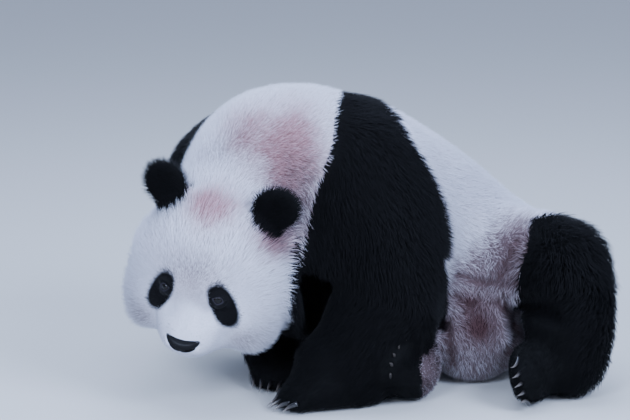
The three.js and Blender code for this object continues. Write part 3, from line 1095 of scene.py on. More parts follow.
@dataclass
class Markings:
    """Where the coat is black, blushed by the skin under it, soiled, or darkened by painted shade on brow
    and cheeks.

    Distances are in metres, but for those on the head, which are in millimetres. values holds what each
    corner of the skin gets, and collar how near it is to the front edge of the black band. Names with SOFT
    give half the width over which an edge fades, and pairs of numbers the two ends of such a fade.
    """

    skin: Skin

    BLUSHES = (
        Stain("neck", (0.645, 0.08, 0.78), (76, 130, 84), 0.95),
        Stain("neck", (0.66, 0.02, 0.60), (64, 90, 66), 0.45),
        Stain("neck", (0.385, 0.18, 0.82), (46, 90, 56), 0.5),
        Stain("ear_left", (0.42, 0.4, -0.1), (50, 70, 44), 1.0),
        Stain("head", (0.475, 0.24, 0.87), (50, 70, 50), 1.1),
        Stain("thigh_left", (0.14, 0.3, 0.72), (46, 80, 60), 0.5),
        Stain("rump", (0.50, 0.05, 0.42), (90, 120, 90), 0.6),
    )
    SOILS = (
        Stain("rump", (0.5, 0.10, 0.42), (100, 120, 120), 1.0),
        Stain("rump", (0.6, 0.1, 0.10), (170, 180, 70), 0.85),
        Stain("rump", (0.56, 0.05, 0.66), (80, 100, 40), 0.65),
        Stain("neck", (0.73, 0.0, 0.42), (56, 90, 100), 0.8),
        Stain("neck", (0.66, 0.02, 0.66), (80, 90, 70), 0.32),
        Stain("hindfoot_right", (0.85, 0.3, 0.5), (70, 120, 110), 1.3),
        Stain("thigh_left", (0.14, 0.3, 0.72), (60, 110, 80), 1.4),
        Stain("ear_left", (0.42, 0.4, -0.1), (36, 60, 36), 0.55),
    )
    BROWNS = (
        Stain("rump", (0.511, 0.04, 0.36), (35, 80, 36), 1.25),
        Stain("rump", (0.47, 0.05, 0.50), (20, 60, 12), 1.1),
        Stain("hindfoot_right", (0.85, 0.3, 0.5), (70, 120, 110), 0.4),
    )
    # The first spot darkens the hollow between muzzle and cheek, partly the dark corner of the mouth and
    # partly painted shade; the second is painted shade on the low part of the cheek.
    CHEEK_SHADE = (Bump(0.42, (96, 126, -62), (30, 44, 30)), Bump(0.25, (128, 104, -60), (46, 54, 44)))
    ROUGH = (Ripple(0.05, 11, 0.05), Ripple(0.018, 12, 0.03))
    UNEVEN_BLUSH = Ripple(0.05, 13, 0.12)
    UNEVEN_SOIL = Ripple(0.04, 14, 0.2)
    SOIL_SHARE = 0.95
    # A grey tinge over the brow that stops at the top of the muzzle. It is partly the coat's own tint and
    # partly painted shade that keeps the brow darker than the muzzle.
    BROW = Bump(1.0, (0, 112, 62), (74, 46, 62))
    BROW_SOIL = 0.75
    BROW_FRONT = (160, 144)
    EAR = 55.0
    EAR_SHIFT = (0.0, 10.0, -8.0)
    EAR_DARK = 1.5
    LID_AT = 1.08
    RIM_HIGHLIGHT_WIDTH = 0.11
    SOFT = 0.014
    COLLAR_FAR = (0.03, 0.07)
    COLLAR_NEAR = (0.075, 0.05)
    COLLAR_HAIR = 0.03
    SADDLE_FAR = (0.05, 0.16)
    SADDLE_BACK = 0.09
    RIDGE = 0.503
    RIDGE_LEAN = 0.107
    RIDGE_RISE = (0.795, 0.909)
    RIDGE_SOFT = 0.018
    FAR_SHOULDER_END = (0.25, 0.21)
    INNER_THIGH = 0.034
    INNER_LEAN = 0.022
    INNER_RISE = (0.23, 0.32)
    INNER_SOFT = 0.02
    HEEL = 0.052
    HEEL_SOFT = 0.01
    HEEL_PALE = 0.56

    def __post_init__(self) -> None:
        """Works out all the markings of the skin."""
        skin = self.skin
        points = skin.points
        at = FACE.local(points)
        on_head = skin.head_share()
        dark = np.clip(self._band() * self._groin() + covered(self.ROUGH, points), 0, 1)
        dark = np.maximum(np.maximum(dark, Patch().cover(at) * on_head), self._ears(at))
        blush = covered(self.BLUSHES, points) * (1 + self.UNEVEN_BLUSH.cover(points))
        soil = covered(self.SOILS, points) * (self.SOIL_SHARE + self.UNEVEN_SOIL.cover(points))
        # The brow gets its grey tinge and painted shade.
        brow = self.BROW.cover(at) * smoothstep(*self.BROW_FRONT, at[:, 1])
        soil += self.BROW_SOIL * brow * on_head
        # Painted shade beside the muzzle and on the low cheeks goes into the same value as the soil.
        for spot in self.CHEEK_SHADE:
            soil += spot.cover(at) * on_head
        brown = covered(self.BROWNS, points)
        # A lighter grey ring round the lids' opening: a painted highlight of their wet rims.
        measure = np.minimum(EYES[0].opening(at)[0], EYES[1].opening(at)[0])
        lid = bell(measure - self.LID_AT, self.RIM_HIGHLIGHT_WIDTH) * on_head
        self.values = {"dark": dark, "blush": blush, "soil": soil, "brown": brown, "lid": lid}
        self.values = {name: np.clip(v, 0, 1) for name, v in self.values.items()}

    def _ears(self, at: Array) -> Array:
        """Finds the black of the ears, which runs a little way onto the head.

        Args:
            at: The skin's corners in the head's axes.
        Returns:
            Darkness from 0 to 1 for each corner.
        """
        ears = np.zeros(len(at))
        for ear in ("ear_left", "ear_right"):
            centre = FACE.local(mid(ear)[None])[0] + self.EAR_SHIFT
            away = np.linalg.norm(at - centre, axis=1) / self.EAR
            ears = np.maximum(ears, np.clip(self.EAR_DARK - away, 0, 1))
        return ears

    def _band(self) -> Array:
        """Draws both edges of the black band into the darkness of the coat, and finds where the collar runs.

        Returns:
            Darkness from 0 to 1 for each corner.
        """
        skin = self.skin
        far = skin.points[:, 1]
        past, holds = COLLAR.past(skin)
        collar = smoothstep(-self.SOFT, self.SOFT, past)
        collar = np.maximum(collar, skin.dark * smoothstep(*self.COLLAR_FAR, far))
        near = holds * smoothstep(*self.COLLAR_NEAR, np.abs(past))
        dark = skin.dark + (collar - skin.dark) * near
        self.collar = near * bell(past, self.COLLAR_HAIR)
        past, holds = SADDLE.past(skin)
        past = past + self.SADDLE_BACK * smoothstep(*self.SADDLE_FAR, far)
        band = np.minimum(collar, smoothstep(self.SOFT, -self.SOFT, past))
        dark = dark + (band - dark) * holds
        along, over, up = shares_of(FRAME_BOX, skin.points).T
        ridge = self.RIDGE + self.RIDGE_LEAN * smoothstep(*self.RIDGE_RISE, up)
        beyond = smoothstep(ridge - self.RIDGE_SOFT, ridge + self.RIDGE_SOFT, over)
        beyond = beyond * smoothstep(*self.FAR_SHOULDER_END, along)
        far_side = skin.on("neck", "trunk", "breast", "shoulder_right", "forearm_right")
        return np.maximum(dark, beyond * far_side)

    def _groin(self) -> Array:
        """Finds the pale coat on the inner side of the left thigh and on the heel of the right hind foot.

        Returns:
            1 on the black coat, and less on the pale.
        """
        skin = self.skin
        along, _, up = skin.points.T
        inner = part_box("thigh_left")[0].x + self.INNER_THIGH
        inner = inner + self.INNER_LEAN * smoothstep(*self.INNER_RISE, up)
        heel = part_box("hindfoot_right")[1].x - self.HEEL
        pale = smoothstep(inner + self.INNER_SOFT, inner - self.INNER_SOFT, along)
        pale = skin.on("thigh_left", "shank_left") * pale
        sole = smoothstep(heel - self.HEEL_SOFT, heel + self.HEEL_SOFT, along)
        return 1 - pale - self.HEEL_PALE * skin.on("hindfoot_right", "shank_right") * sole


# ---------------------------------------------------------------- coat


@dataclass(frozen=True)
class Roots:
    """Where tufts grow: the corners of the face of skin under each, and their weights."""

    corners: Array
    share: Array

    def value(self, values: Array) -> Array:
        """Value at each root of something that is known at the skin's corners."""
        weights = self.share if values.ndim == 1 else self.share[:, :, None]
        return (values[self.corners] * weights).sum(1)

    def nearest(self, values: Array) -> Array:
        """Value at the skin's corner that is nearest to each root."""
        return values[self.corners[np.arange(len(self.share)), self.share.argmax(1)]]


@dataclass(frozen=True)
class Shape:
    """How a tuft is built: rings of three corners up its length, then a tip."""

    rings: tuple[float, ...]
    faces: tuple[tuple[int, int, int], ...]

    @property
    def corners(self) -> int:
        """Number of its corners."""
        return 3 * len(self.rings) + 1

    @property
    def along(self) -> Array:
        """How far up the tuft each corner is, from 0 to 1."""
        return np.append(np.repeat(self.rings, 3), 1.0)


PLAIN = Shape((0.0,), ((0, 1, 3), (1, 2, 3), (2, 0, 3), (0, 2, 1)))
BENT = Shape(
    (0.0, 0.5),
    ((0, 1, 4), (0, 4, 3), (1, 2, 5), (1, 5, 4), (2, 0, 3), (2, 3, 5),
     (3, 4, 6), (4, 5, 6), (5, 3, 6), (0, 2, 1)),
)


@dataclass
class Strands:
    """Tufts ready to be cut into pieces. The long ones bend once between root and tip.

    ring holds the corners of a tuft's section and angles their directions on the bake map, where patch is
    how far a tuft reaches, as a share of the map. taper is the width of the sections, sunk how deep the root
    sits in the skin, floor the least height of a corner, and lit how much the skin's shading counts.
    """

    root: Array
    middle: Array
    tip: Array
    out: Array
    first: Array
    across: Array
    width: Array
    bent: Array
    looks: dict[str, Array]

    ring: tuple[tuple[float, float], ...] = ((-0.5, -0.16), (0.5, -0.16), (0.0, 0.34))
    angles: Triple = (210, 330, 90)
    taper: tuple[float, float] = (1.0, 0.75)
    sunk: float = 1.2 * MM
    floor: float = 0.4 * MM
    patch: float = 0.0015
    patch_taper: float = 0.9
    lit: float = 1.1

    def piece(self, name: str, some: Array, region: Array) -> bpy.types.Object:
        """Makes one piece of the coat.

        Args:
            name: Name of the piece.
            some: Numbers of its tufts.
            region: Number of the node under each of them.
        Returns:
            The piece.
        """
        centre = unwrapped(self.root[some], self.out[some], region)
        parts = []
        start = 0
        for shape, kind in ((PLAIN, False), (BENT, True)):
            mine = np.where(self.bent[some] == kind)[0]
            number = start + shape.corners * np.arange(len(mine))
            faces = (np.array(shape.faces)[None] + number[:, None, None]).reshape(-1, 3)
            tufts = np.repeat(some[mine], shape.corners)
            places = self._places(shape, centre[mine])
            along = np.tile(shape.along, len(mine))
            parts.append((self._points(shape, some[mine]), faces, places, tufts, along))
            start += shape.corners * len(mine)
        points, faces, places, tufts, along = (np.concatenate(part) for part in zip(*parts))
        piece = mesh_object(name, points, faces)
        put_values(piece, **{look: values[tufts] for look, values in self.looks.items()}, along=along)
        soft = unit(corner_normals(points, faces) + self.lit * self.out[tufts])
        piece.data.normals_split_custom_set_from_vertices(soft.astype(np.float32))
        put_map(piece, places[faces.ravel()])
        return piece

    def _points(self, shape: Shape, some: Array) -> Array:
        """Works out the corners of some tufts of one shape.

        Args:
            shape: The shape.
            some: Numbers of the tufts.
        Returns:
            Corners, tuft by tuft.
        """
        wide = self.across[some] * self.width[some, None]
        thick = np.cross(self.first[some], self.across[some]) * self.width[some, None]
        base = self.root[some] - self.out[some] * self.sunk
        corners = []
        for centre, scale in zip((base, self.middle[some]), self.taper[: len(shape.rings)]):
            corners += [centre + wide * x * scale + thick * y * scale for x, y in self.ring]
        points = np.stack(corners + [self.tip[some]], axis=1).reshape(-1, 3)
        points[:, 2] = np.maximum(points[:, 2], self.floor)
        return points

    def _places(self, shape: Shape, centre: Array) -> Array:
        """Spreads each tuft over a small patch of the bake map round its root.

        Args:
            shape: Shape of the tufts.
            centre: Place of each root on the map.
        Returns:
            Place of each corner on the map.
        """
        angle = np.radians(np.append(np.tile(self.angles, len(shape.rings)), 0))
        reach = self.patch * (1 - shape.along * self.patch_taper)
        reach[-1] = 0
        around = np.column_stack([np.cos(angle) * reach, np.sin(angle) * reach])
        return (centre[:, None, :] + around[None]).reshape(-1, 2)


@dataclass
class Coat:
    """Tufts of solid hair over the skin, along the lie of the coat.

    lengths to soils are the least and the most that chance makes of a value, and eye_near and claw_near the
    ends of a fade, in millimetres and in metres. clumps is the share of tufts that lead others, limit the
    most triangles of a piece, bent_from the length of hair that bends, lean and crouch how steeply its lower
    and upper half stand against the coat's own rise, crowd how many more roots are scattered than find room,
    and cell how fine the cells are in which one root is kept, against the spacing.
    """

    skin: Skin
    markings: Markings

    seed: int = 7
    clumps: float = 0.10
    pulls: tuple[float, float] = (0.4, 1.2)
    middle_pull: float = 0.35
    lowest: float = 1.2 * MM
    limit: int = 188000
    bent_from: float = 31 * MM
    lean: float = 1.3
    crouch: float = 0.55
    crowd: float = 2.2
    cell: float = 0.92
    lengths: tuple[float, float] = (0.72, 1.18)
    widths: tuple[float, float] = (0.75, 1.2)
    rises: tuple[float, float] = (0.6, 1.35)
    blushes: tuple[float, float] = (0.7, 1.25)
    soils: tuple[float, float] = (0.3, 1.6)
    stray: float = 0.07
    head_stray: float = 0.035
    fold_spread: float = 1.6
    fold_soil: float = 0.95
    eye_near: tuple[float, float] = (34, 15)
    claw_near: tuple[float, float] = (0.032, 0.012)
    claw_short: float = 0.6
    resting: float = 0.010
    facing_down: float = -0.6
    nose: Triple = (0, 191, -45)
    nose_half: Triple = (34, 22, 14)
    lids_reach: float = 24.0
    whiskers: Bump = Bump(0.05, (24, 182, -38), (22, 22, 20))

    ON_FACE = {"length": (0.62, 1.02), "width": (0.25, 0.45), "spacing": (0.2, 0.4)}
    AT_EYES = {"length": 0.45, "width": 0.25, "rise": 0.5}
    SOILED_SHORT = 0.4
    SOILED_RISE = 0.5
    SOILED_VEER = 0.45
    COLLAR_SHORT = 0.4
    GROUPS = {
        "coat_head": ("head",),
        "coat_ears": ("ear_left", "ear_right"),
        "coat_neck": ("neck",),
        "coat_trunk": ("trunk",),
        "coat_rump": ("rump", "tail"),
        "coat_breast": ("breast",),
        "coat_shoulders": ("shoulder_left", "shoulder_right"),
        "coat_forearms": ("forearm_left", "forearm_right"),
        "coat_hindlegs": ("thigh_left", "thigh_right", "shank_left", "shank_right"),
        "coat_paws": ("forepaw_left", "forepaw_right", "hindfoot_left", "hindfoot_right"),
    }
    WHITE = ("coat_head", "coat_neck", "coat_trunk", "coat_rump")
    HASH = (92821, 68917, 31)

    def __post_init__(self) -> None:
        """Starts the one source of chance."""
        self.rng = np.random.default_rng(self.seed)

    def _cut(self) -> dict[str, Array]:
        """Works out how the coat is cut.

        Returns:
            Length, width, angles and spacing of the coat at each corner of the skin.
        """
        skin = self.skin
        cut = {name: skin.trait(name) for name in ("length", "width", "rise", "spacing", "clump", "veer")}
        for name, shares in self.ON_FACE.items():
            cut[name] *= skin.face_factor(*shares)
        head = skin.smoothed(skin.head_share(), skin.head_rounds)
        groin = self.markings.values["soil"] * (1 - head) * (skin.points[:, 0] > mid("trunk")[0])
        cut["length"] *= (1 - self.SOILED_SHORT * groin) * (1 - self.COLLAR_SHORT * self.markings.collar)
        cut["rise"] *= 1 + self.SOILED_RISE * groin
        cut["veer"] += self.SOILED_VEER * groin
        for eye in EYES:
            near = smoothstep(*self.eye_near, np.linalg.norm(FACE.local(skin.points) - eye.centre, axis=1))
            for name, less in self.AT_EYES.items():
                cut[name] *= 1 - less * near
        for number in range(1, 6):
            away = np.linalg.norm(skin.points - mid(f"hindfoot_right_claw_{number}"), axis=1)
            cut["length"] *= 1 - self.claw_short * smoothstep(*self.claw_near, away)
        return cut

    def _bare(self) -> Array:
        """Finds the corners that grow no hair: at the eyes, the nose and what rests on the floor.

        Returns:
            Whether each corner of the skin is bare.
        """
        skin = self.skin
        at = FACE.local(skin.points)
        bare = (skin.points[:, 2] < self.resting) & (skin.normals[:, 2] < self.facing_down)
        for eye in EYES:
            measure, distance = eye.opening(at)
            bare |= (measure < eye.rim_at) & (distance < self.lids_reach)
        return bare | (np.linalg.norm((at - self.nose) / self.nose_half, axis=1) < 1.0)

    def _roots(self, spacing: Array, bare: Array) -> Roots:
        """Scatters roots over the skin, evenly and as near to each other as the coat asks.

        Args:
            spacing: Distance between roots at each corner, in millimetres.
            bare: Corners with no hair.
        Returns:
            The roots.
        """
        skin, rng = self.skin, self.rng
        a, b, c = (skin.points[skin.faces[:, k]] for k in range(3))
        area = np.linalg.norm(np.cross(b - a, c - a), axis=1) / 2
        gap = spacing[skin.faces].mean(1) * MM
        wanted = area / gap**2 * self.crowd
        wanted[bare[skin.faces].any(1)] = 0
        count = rng.poisson(wanted)
        face = np.repeat(np.arange(len(count)), count)
        rng.shuffle(face)
        u, v = rng.random(len(face)), rng.random(len(face))
        over = u + v > 1
        u[over], v[over] = 1 - u[over], 1 - v[over]
        share = np.column_stack([1 - u - v, u, v])
        place = (skin.points[skin.faces[face]] * share[:, :, None]).sum(1)
        # The first root in each cell is kept, and cells come in sizes a quarter of an octave apart.
        step = np.exp2(np.round(np.log2(gap[face] / MM) * 4) / 4) * MM
        keys, *others = np.floor(place / step[:, None] * self.cell).astype(np.int64).T
        tenths = np.round(step / MM * 10).astype(np.int64)
        for factor, other in zip(self.HASH, (*others, tenths)):
            keys = keys * factor + other
        first = np.sort(np.unique(keys, return_index=True)[1])
        return Roots(skin.faces[face[first]], share[first])

    def grow(self, fur: bpy.types.Material) -> None:
        """Grows the coat and cuts it into pieces.

        Args:
            fur: Material that skin and coat share.
        """
        cut = self._cut()
        roots = self._roots(cut["spacing"], self._bare())
        strands = self._strands(cut, roots)
        region = roots.nearest(self.skin.region)
        for group, nodes in self.GROUPS.items():
            chosen = np.where(np.isin(region, [self.skin.nodes.index(node) for node in nodes]))[0]
            triangles = np.where(strands.bent[chosen], len(BENT.faces), len(PLAIN.faces)).sum()
            parts = max(1, math.ceil(triangles / self.limit))
            chosen = chosen[np.argsort(strands.root[chosen, 0], kind="stable")]
            for number, some in enumerate(np.array_split(chosen, parts)):
                name = group if parts == 1 else f"{group}_{number + 1}"
                piece = strands.piece(name, some, region[some])
                settle_piece(piece, fur, "white_coat" if group in self.WHITE else "black_coat")

    def _strands(self, cut: dict[str, Array], roots: Roots) -> Strands:
        """Works out where each tuft runs.

        Args:
            cut: How the coat is cut, at each corner of the skin.
            roots: Where the tufts grow.
        Returns:
            The tufts.
        """
        rng, size = self.rng, len(roots.share)
        root = roots.value(self.skin.points)
        out = unit(roots.value(self.skin.normals))
        flow = laid_flat(roots.value(self.skin.lie()), out)
        veer = rng.normal(0, 1, size) * roots.value(cut["veer"])
        flow = unit(flow + np.cross(out, flow) * veer[:, None])
        across = np.cross(out, flow)
        length = roots.value(cut["length"]) * rng.uniform(*self.lengths, size) * MM
        width = roots.value(cut["width"]) * rng.uniform(*self.widths, size) * MM
        rise = np.radians(roots.value(cut["rise"]) * rng.uniform(*self.rises, size))
        bent = length > self.bent_from
        first = swung(flow, out, np.where(bent, self.lean, 1.0) * rise)
        second = np.where(bent[:, None], swung(flow, out, self.crouch * rise), first)
        middle = root + first * (0.5 * length)[:, None]
        tip = middle + second * (0.5 * length)[:, None]
        middle, tip = self._gathered(root, middle, tip, roots.value(cut["clump"]))
        return Strands(root, middle, tip, out, first, across, width, bent, self._looks(roots, root))

    def _looks(self, roots: Roots, root: Array) -> dict[str, Array]:
        """Works out the markings of each tuft. A few on the muzzle, above and beside the nose, are black.

        Args:
            roots: Where the tufts grow.
            root: Their places, in metres.
        Returns:
            One value for each tuft, for each marking.
        """
        rng, size = self.rng, len(root)
        under = {name: roots.value(values) for name, values in self.markings.values.items()}
        stray = self.stray - self.head_stray * roots.value(self.skin.head_share())
        dark = under["dark"] + rng.normal(0, 1, size) * stray
        whisker = rng.random(size) < self.whiskers.cover(FACE.local(root))
        tone = rng.random(size)
        blush = np.clip(under["blush"] * rng.uniform(*self.blushes, size), 0, 1)
        # Tufts along the folds of the groin are darker brown.
        crease = self.fold_soil * np.max([fold.cover(root, self.fold_spread) for fold in FOLDS], axis=0)
        brown = np.maximum(under["brown"], crease)
        soil = np.clip(np.maximum(under["soil"], crease) * rng.uniform(*self.soils, size), 0, 1)
        dark = ((dark > 0.5) | whisker).astype(float)
        return {"dark": dark, "tone": tone, "blush": blush, "brown": brown, "soil": soil}

    def _gathered(self, root: Array, middle: Array, tip: Array, clump: Array) -> tuple[Array, Array]:
        """Gathers tips towards those of a few leading tufts, and keeps them off the floor.

        Args:
            root: Roots.
            middle: Half-way points.
            tip: Tips.
            clump: How far each tip gathers, from 0 to 1.
        Returns:
            The half-way points and tips after gathering.
        """
        leaders = self.rng.choice(len(root), int(len(root) * self.clumps), replace=False)
        lead = leaders[nearest_place(root[leaders], root)]
        pull = (clump * self.rng.uniform(*self.pulls, len(root)))[:, None]
        tip = tip + (tip[lead] - tip) * pull
        middle = middle + (middle[lead] - middle) * pull * self.middle_pull
        for place in (middle, tip):
            place[:, 2] = np.maximum(place[:, 2], self.lowest)
        return middle, tip


# The part of the bake map that is filled and the edge left free, as shares of it, and room round the charts
# in metres.
MAP_SHARE = 0.985
MAP_EDGE = 0.006
CHART_GAP = 0.008
CHART_ROOM = 0.01
CHART_SLACK = 1.12


def unwrapped(root: Array, out: Array, region: Array) -> Array:
    """Unwraps places on the skin into charts, one for each region and side that it faces.

    Args:
        root: Places on the skin.
        out: Directions out of it.
        region: Number of the node under each place.
    Returns:
        Places between 0 and 1 on a square map. Charts keep one scale and don't overlap.
    """
    facing = np.abs(out).argmax(1)
    sign = out[np.arange(len(out)), facing] > 0
    chart = (region * 3 + facing) * 2 + sign
    flat = np.empty((len(root), 2))
    for axis in range(3):
        some = facing == axis
        flat[some] = np.delete(root[some], axis, axis=1)
    charts = []
    for number in np.unique(chart):
        some = chart == number
        low = flat[some].min(0)
        span = flat[some].max(0) - low
        charts.append((span[1], span[0], number, low))
    charts.sort(key=lambda c: -c[0])
    room = sum((h + CHART_ROOM) * (w + CHART_ROOM) for h, w, _, _ in charts)
    breadth = max(math.sqrt(room) * CHART_SLACK, max(w for _, w, _, _ in charts))
    x, y, row = 0.0, 0.0, 0.0
    spots = {}
    for height, wide, number, low in charts:
        if x + wide > breadth:
            x, y, row = 0.0, y + row + CHART_GAP, 0.0
        spots[number] = np.array([x, y]) - low
        x += wide + CHART_GAP
        row = max(row, height)
    shift = np.array([spots[number] for number in chart])
    scale = MAP_SHARE / max(breadth, y + row)
    return (flat + shift) * scale + MAP_EDGE


# ---------------------------------------------------------------- eyes, nose and claws


@dataclass(frozen=True)
class Eyeball:
    """A dark, wet eye. A clear bulge over the iris stands proud of the ball by so many millimetres."""

    bulge: float = 0.8
    iris: float = math.radians(38)
    rows: int = 40
    columns: int = 48

    def build(self, eye: Eye, wet: bpy.types.Material) -> None:
        """Makes one eye.

        Args:
            eye: The eye that it is.
            wet: Its material.
        """
        ball, faces = grid_ball(self.rows, self.columns)
        ring = np.arccos(np.clip(ball[:, 1], -1, 1)) / self.iris
        radius = eye.radius + self.bulge * np.clip(1 - ring**2, 0, 1)
        side = unit(np.cross(eye.gaze, (0, 0, 1)))
        local = np.array([side, eye.gaze, np.cross(side, eye.gaze)])
        points = FACE.world(eye.centre + (ball * radius[:, None]) @ local)
        piece = mesh_object(f"eyeball_{eye.side}", points, faces[:, ::-1])
        put_values(piece, ring=ring)
        settle_piece(piece, wet, "eye", f"eye_{eye.side}")


@dataclass(frozen=True)
class NosePad:
    """The bare, leathery pad of the nose, with its two nostrils.

    middle and half are in millimetres in the head's axes. The rest are shares of the pad: square says how
    boxy it is in width and height, flare how much wider it gets upwards, wings and swept how far its sides
    rise and run back. Each nostril is a round hole that runs out into a slit at its side, with a rim.
    """

    middle: Triple = (0.0, 187.0, -46.0)
    half: Triple = (35.0, 17.0, 13.5)
    rows: int = 72
    columns: int = 96
    square: tuple[float, float] = (0.86, 0.9)
    flare: float = 0.16
    wings: float = 0.62
    wings_over: tuple[float, float] = (-0.9, 0.2)
    swept: float = 0.5
    swept_power: float = 2.4
    hole: Triple = (0.44, 0.86, -0.12)
    hole_radii: Triple = (0.17, 0.3, 0.2)
    hole_deep: float = 0.55
    slit: Triple = (0.78, 0.56, -0.20)
    slit_radii: Triple = (0.24, 0.4, 0.075)
    slit_deep: float = 0.3
    groove_width: float = 0.05
    groove_below: float = 0.15
    groove_deep: float = 0.06
    rim: float = 0.05
    rim_at: float = 1.5
    rim_width: float = 0.5

    def build(self, leather: bpy.types.Material) -> None:
        """Makes the nose.

        Args:
            leather: Its material.
        """
        ball, faces = grid_ball(self.rows, self.columns)
        at = ball.copy()
        for axis, power in zip((0, 2), self.square):
            at[:, axis] = np.sign(ball[:, axis]) * np.abs(ball[:, axis]) ** power
        at[:, 0] *= 1 + self.flare * at[:, 2]
        at[:, 2] += self.wings * np.abs(at[:, 0]) ** 2 * smoothstep(*self.wings_over, at[:, 2])
        at[:, 1] -= self.swept * np.abs(at[:, 0]) ** self.swept_power
        gap, tail = (
            np.linalg.norm((folded(ball) - unit(np.array(place))) / radii, axis=1)
            for place, radii in ((self.hole, self.hole_radii), (self.slit, self.slit_radii))
        )
        groove = bell(ball[:, 0], self.groove_width) * (ball[:, 2] < self.groove_below) * (ball[:, 1] > 0)
        pit = self.hole_deep * bell(gap) + self.slit_deep * bell(tail) + self.groove_deep * groove
        at = at * (1 - pit)[:, None]
        at = at * (1 + self.rim * bell(gap - self.rim_at, self.rim_width))[:, None]
        points = FACE.world(np.array(self.middle) + at * self.half)
        piece = mesh_object("nose_leather", points, faces[:, ::-1])
        settle_piece(piece, leather, "nose_pad", "nose")


@dataclass(frozen=True)
class Claws:
    """Claws of all four feet, each a curved horn cone that grows out of its toe.

    root is a claw's radius where it leaves the toe, and inwards how far it runs on inside. worn is how much
    shorter than its solid it is, and longer how much longer those of the right hind foot are than the
    others. All are in millimetres. taper says from what share of its length it narrows, how roundly, and
    to what share of its radius; slim is its width against its height.
    """

    sides: int = 14
    rings: int = 12
    root: float = 5.0
    inwards: float = 12.0
    worn: float = 2.0
    longer: float = 9.0
    point: float = 0.6
    slim: float = 0.78
    taper: Triple = (0.2, 1.3, 0.06)
    spine_lowest: float = 2.0 * MM
    lowest: float = 0.4 * MM

    def build(self, horn: bpy.types.Material) -> None:
        """Makes the claws of each foot as one piece.

        Args:
            horn: Their material.
        """
        for foot in ("forepaw_left", "forepaw_right", "hindfoot_left", "hindfoot_right"):
            names = sorted(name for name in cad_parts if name.startswith(f"{foot}_claw"))
            tube = closed_tube(self.rings, self.sides)
            points, along = zip(*(self._one(name, mid(foot)) for name in names))
            starts = np.arange(len(names)) * len(points[0])
            faces = np.vstack([tube + start for start in starts])
            piece = mesh_object(f"claws_{foot}", np.vstack(points), faces[:, ::-1])
            put_values(piece, along=np.concatenate(along))
            settle_piece(piece, horn, "claw_horn", *names)

    def _one(self, name: str, foot: Array) -> tuple[Array, Array]:
        """Shapes one claw along the bend of its solid.

        Args:
            name: Its node.
            foot: Middle of its foot, in metres.
        Returns:
            Points, and how far along the claw each is.
        """
        solid = np.array([tuple(v.co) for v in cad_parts[name].data.vertices])
        centre = solid.mean(0)
        axis = np.linalg.svd(solid - centre)[2][0]
        axis = axis if axis @ (centre - foot) > 0 else -axis
        t = (solid - centre) @ axis
        bend = np.polynomial.polynomial.polyfit(t, solid, 2)
        worn = self.worn - self.longer * name.startswith("hindfoot_right")
        reach = np.linspace(t.min() - self.inwards * MM, t.max() - worn * MM, self.rings)
        spine = np.polynomial.polynomial.polyval(reach, bend).T
        spine[:, 2] = np.maximum(spine[:, 2], self.spine_lowest)
        share = np.linspace(0, 1, self.rings)
        narrows, power, least = self.taper
        thin = np.clip((share - narrows) / (1 - narrows), 0, 1) ** power
        radius = self.root * MM * np.clip(1 - thin, least, 1)
        ahead = unit(np.gradient(spine, axis=0))
        side = unit(np.cross(ahead, (0, 0, 1.0)))
        top = np.cross(side, ahead)
        turn = np.linspace(0, math.tau, self.sides, endpoint=False)
        circle = side[:, None] * (self.slim * np.cos(turn))[None, :, None]
        circle = circle + top[:, None] * np.sin(turn)[None, :, None]
        body = (spine[:, None] + circle * radius[:, None, None]).reshape(-1, 3)
        body[:, 2] = np.maximum(body[:, 2], self.lowest)
        points = np.vstack([body, spine[0], spine[-1] + ahead[-1] * self.point * MM])
        return points, np.concatenate([np.repeat(share, self.sides), (0, 1)])


# ---------------------------------------------------------------- materials


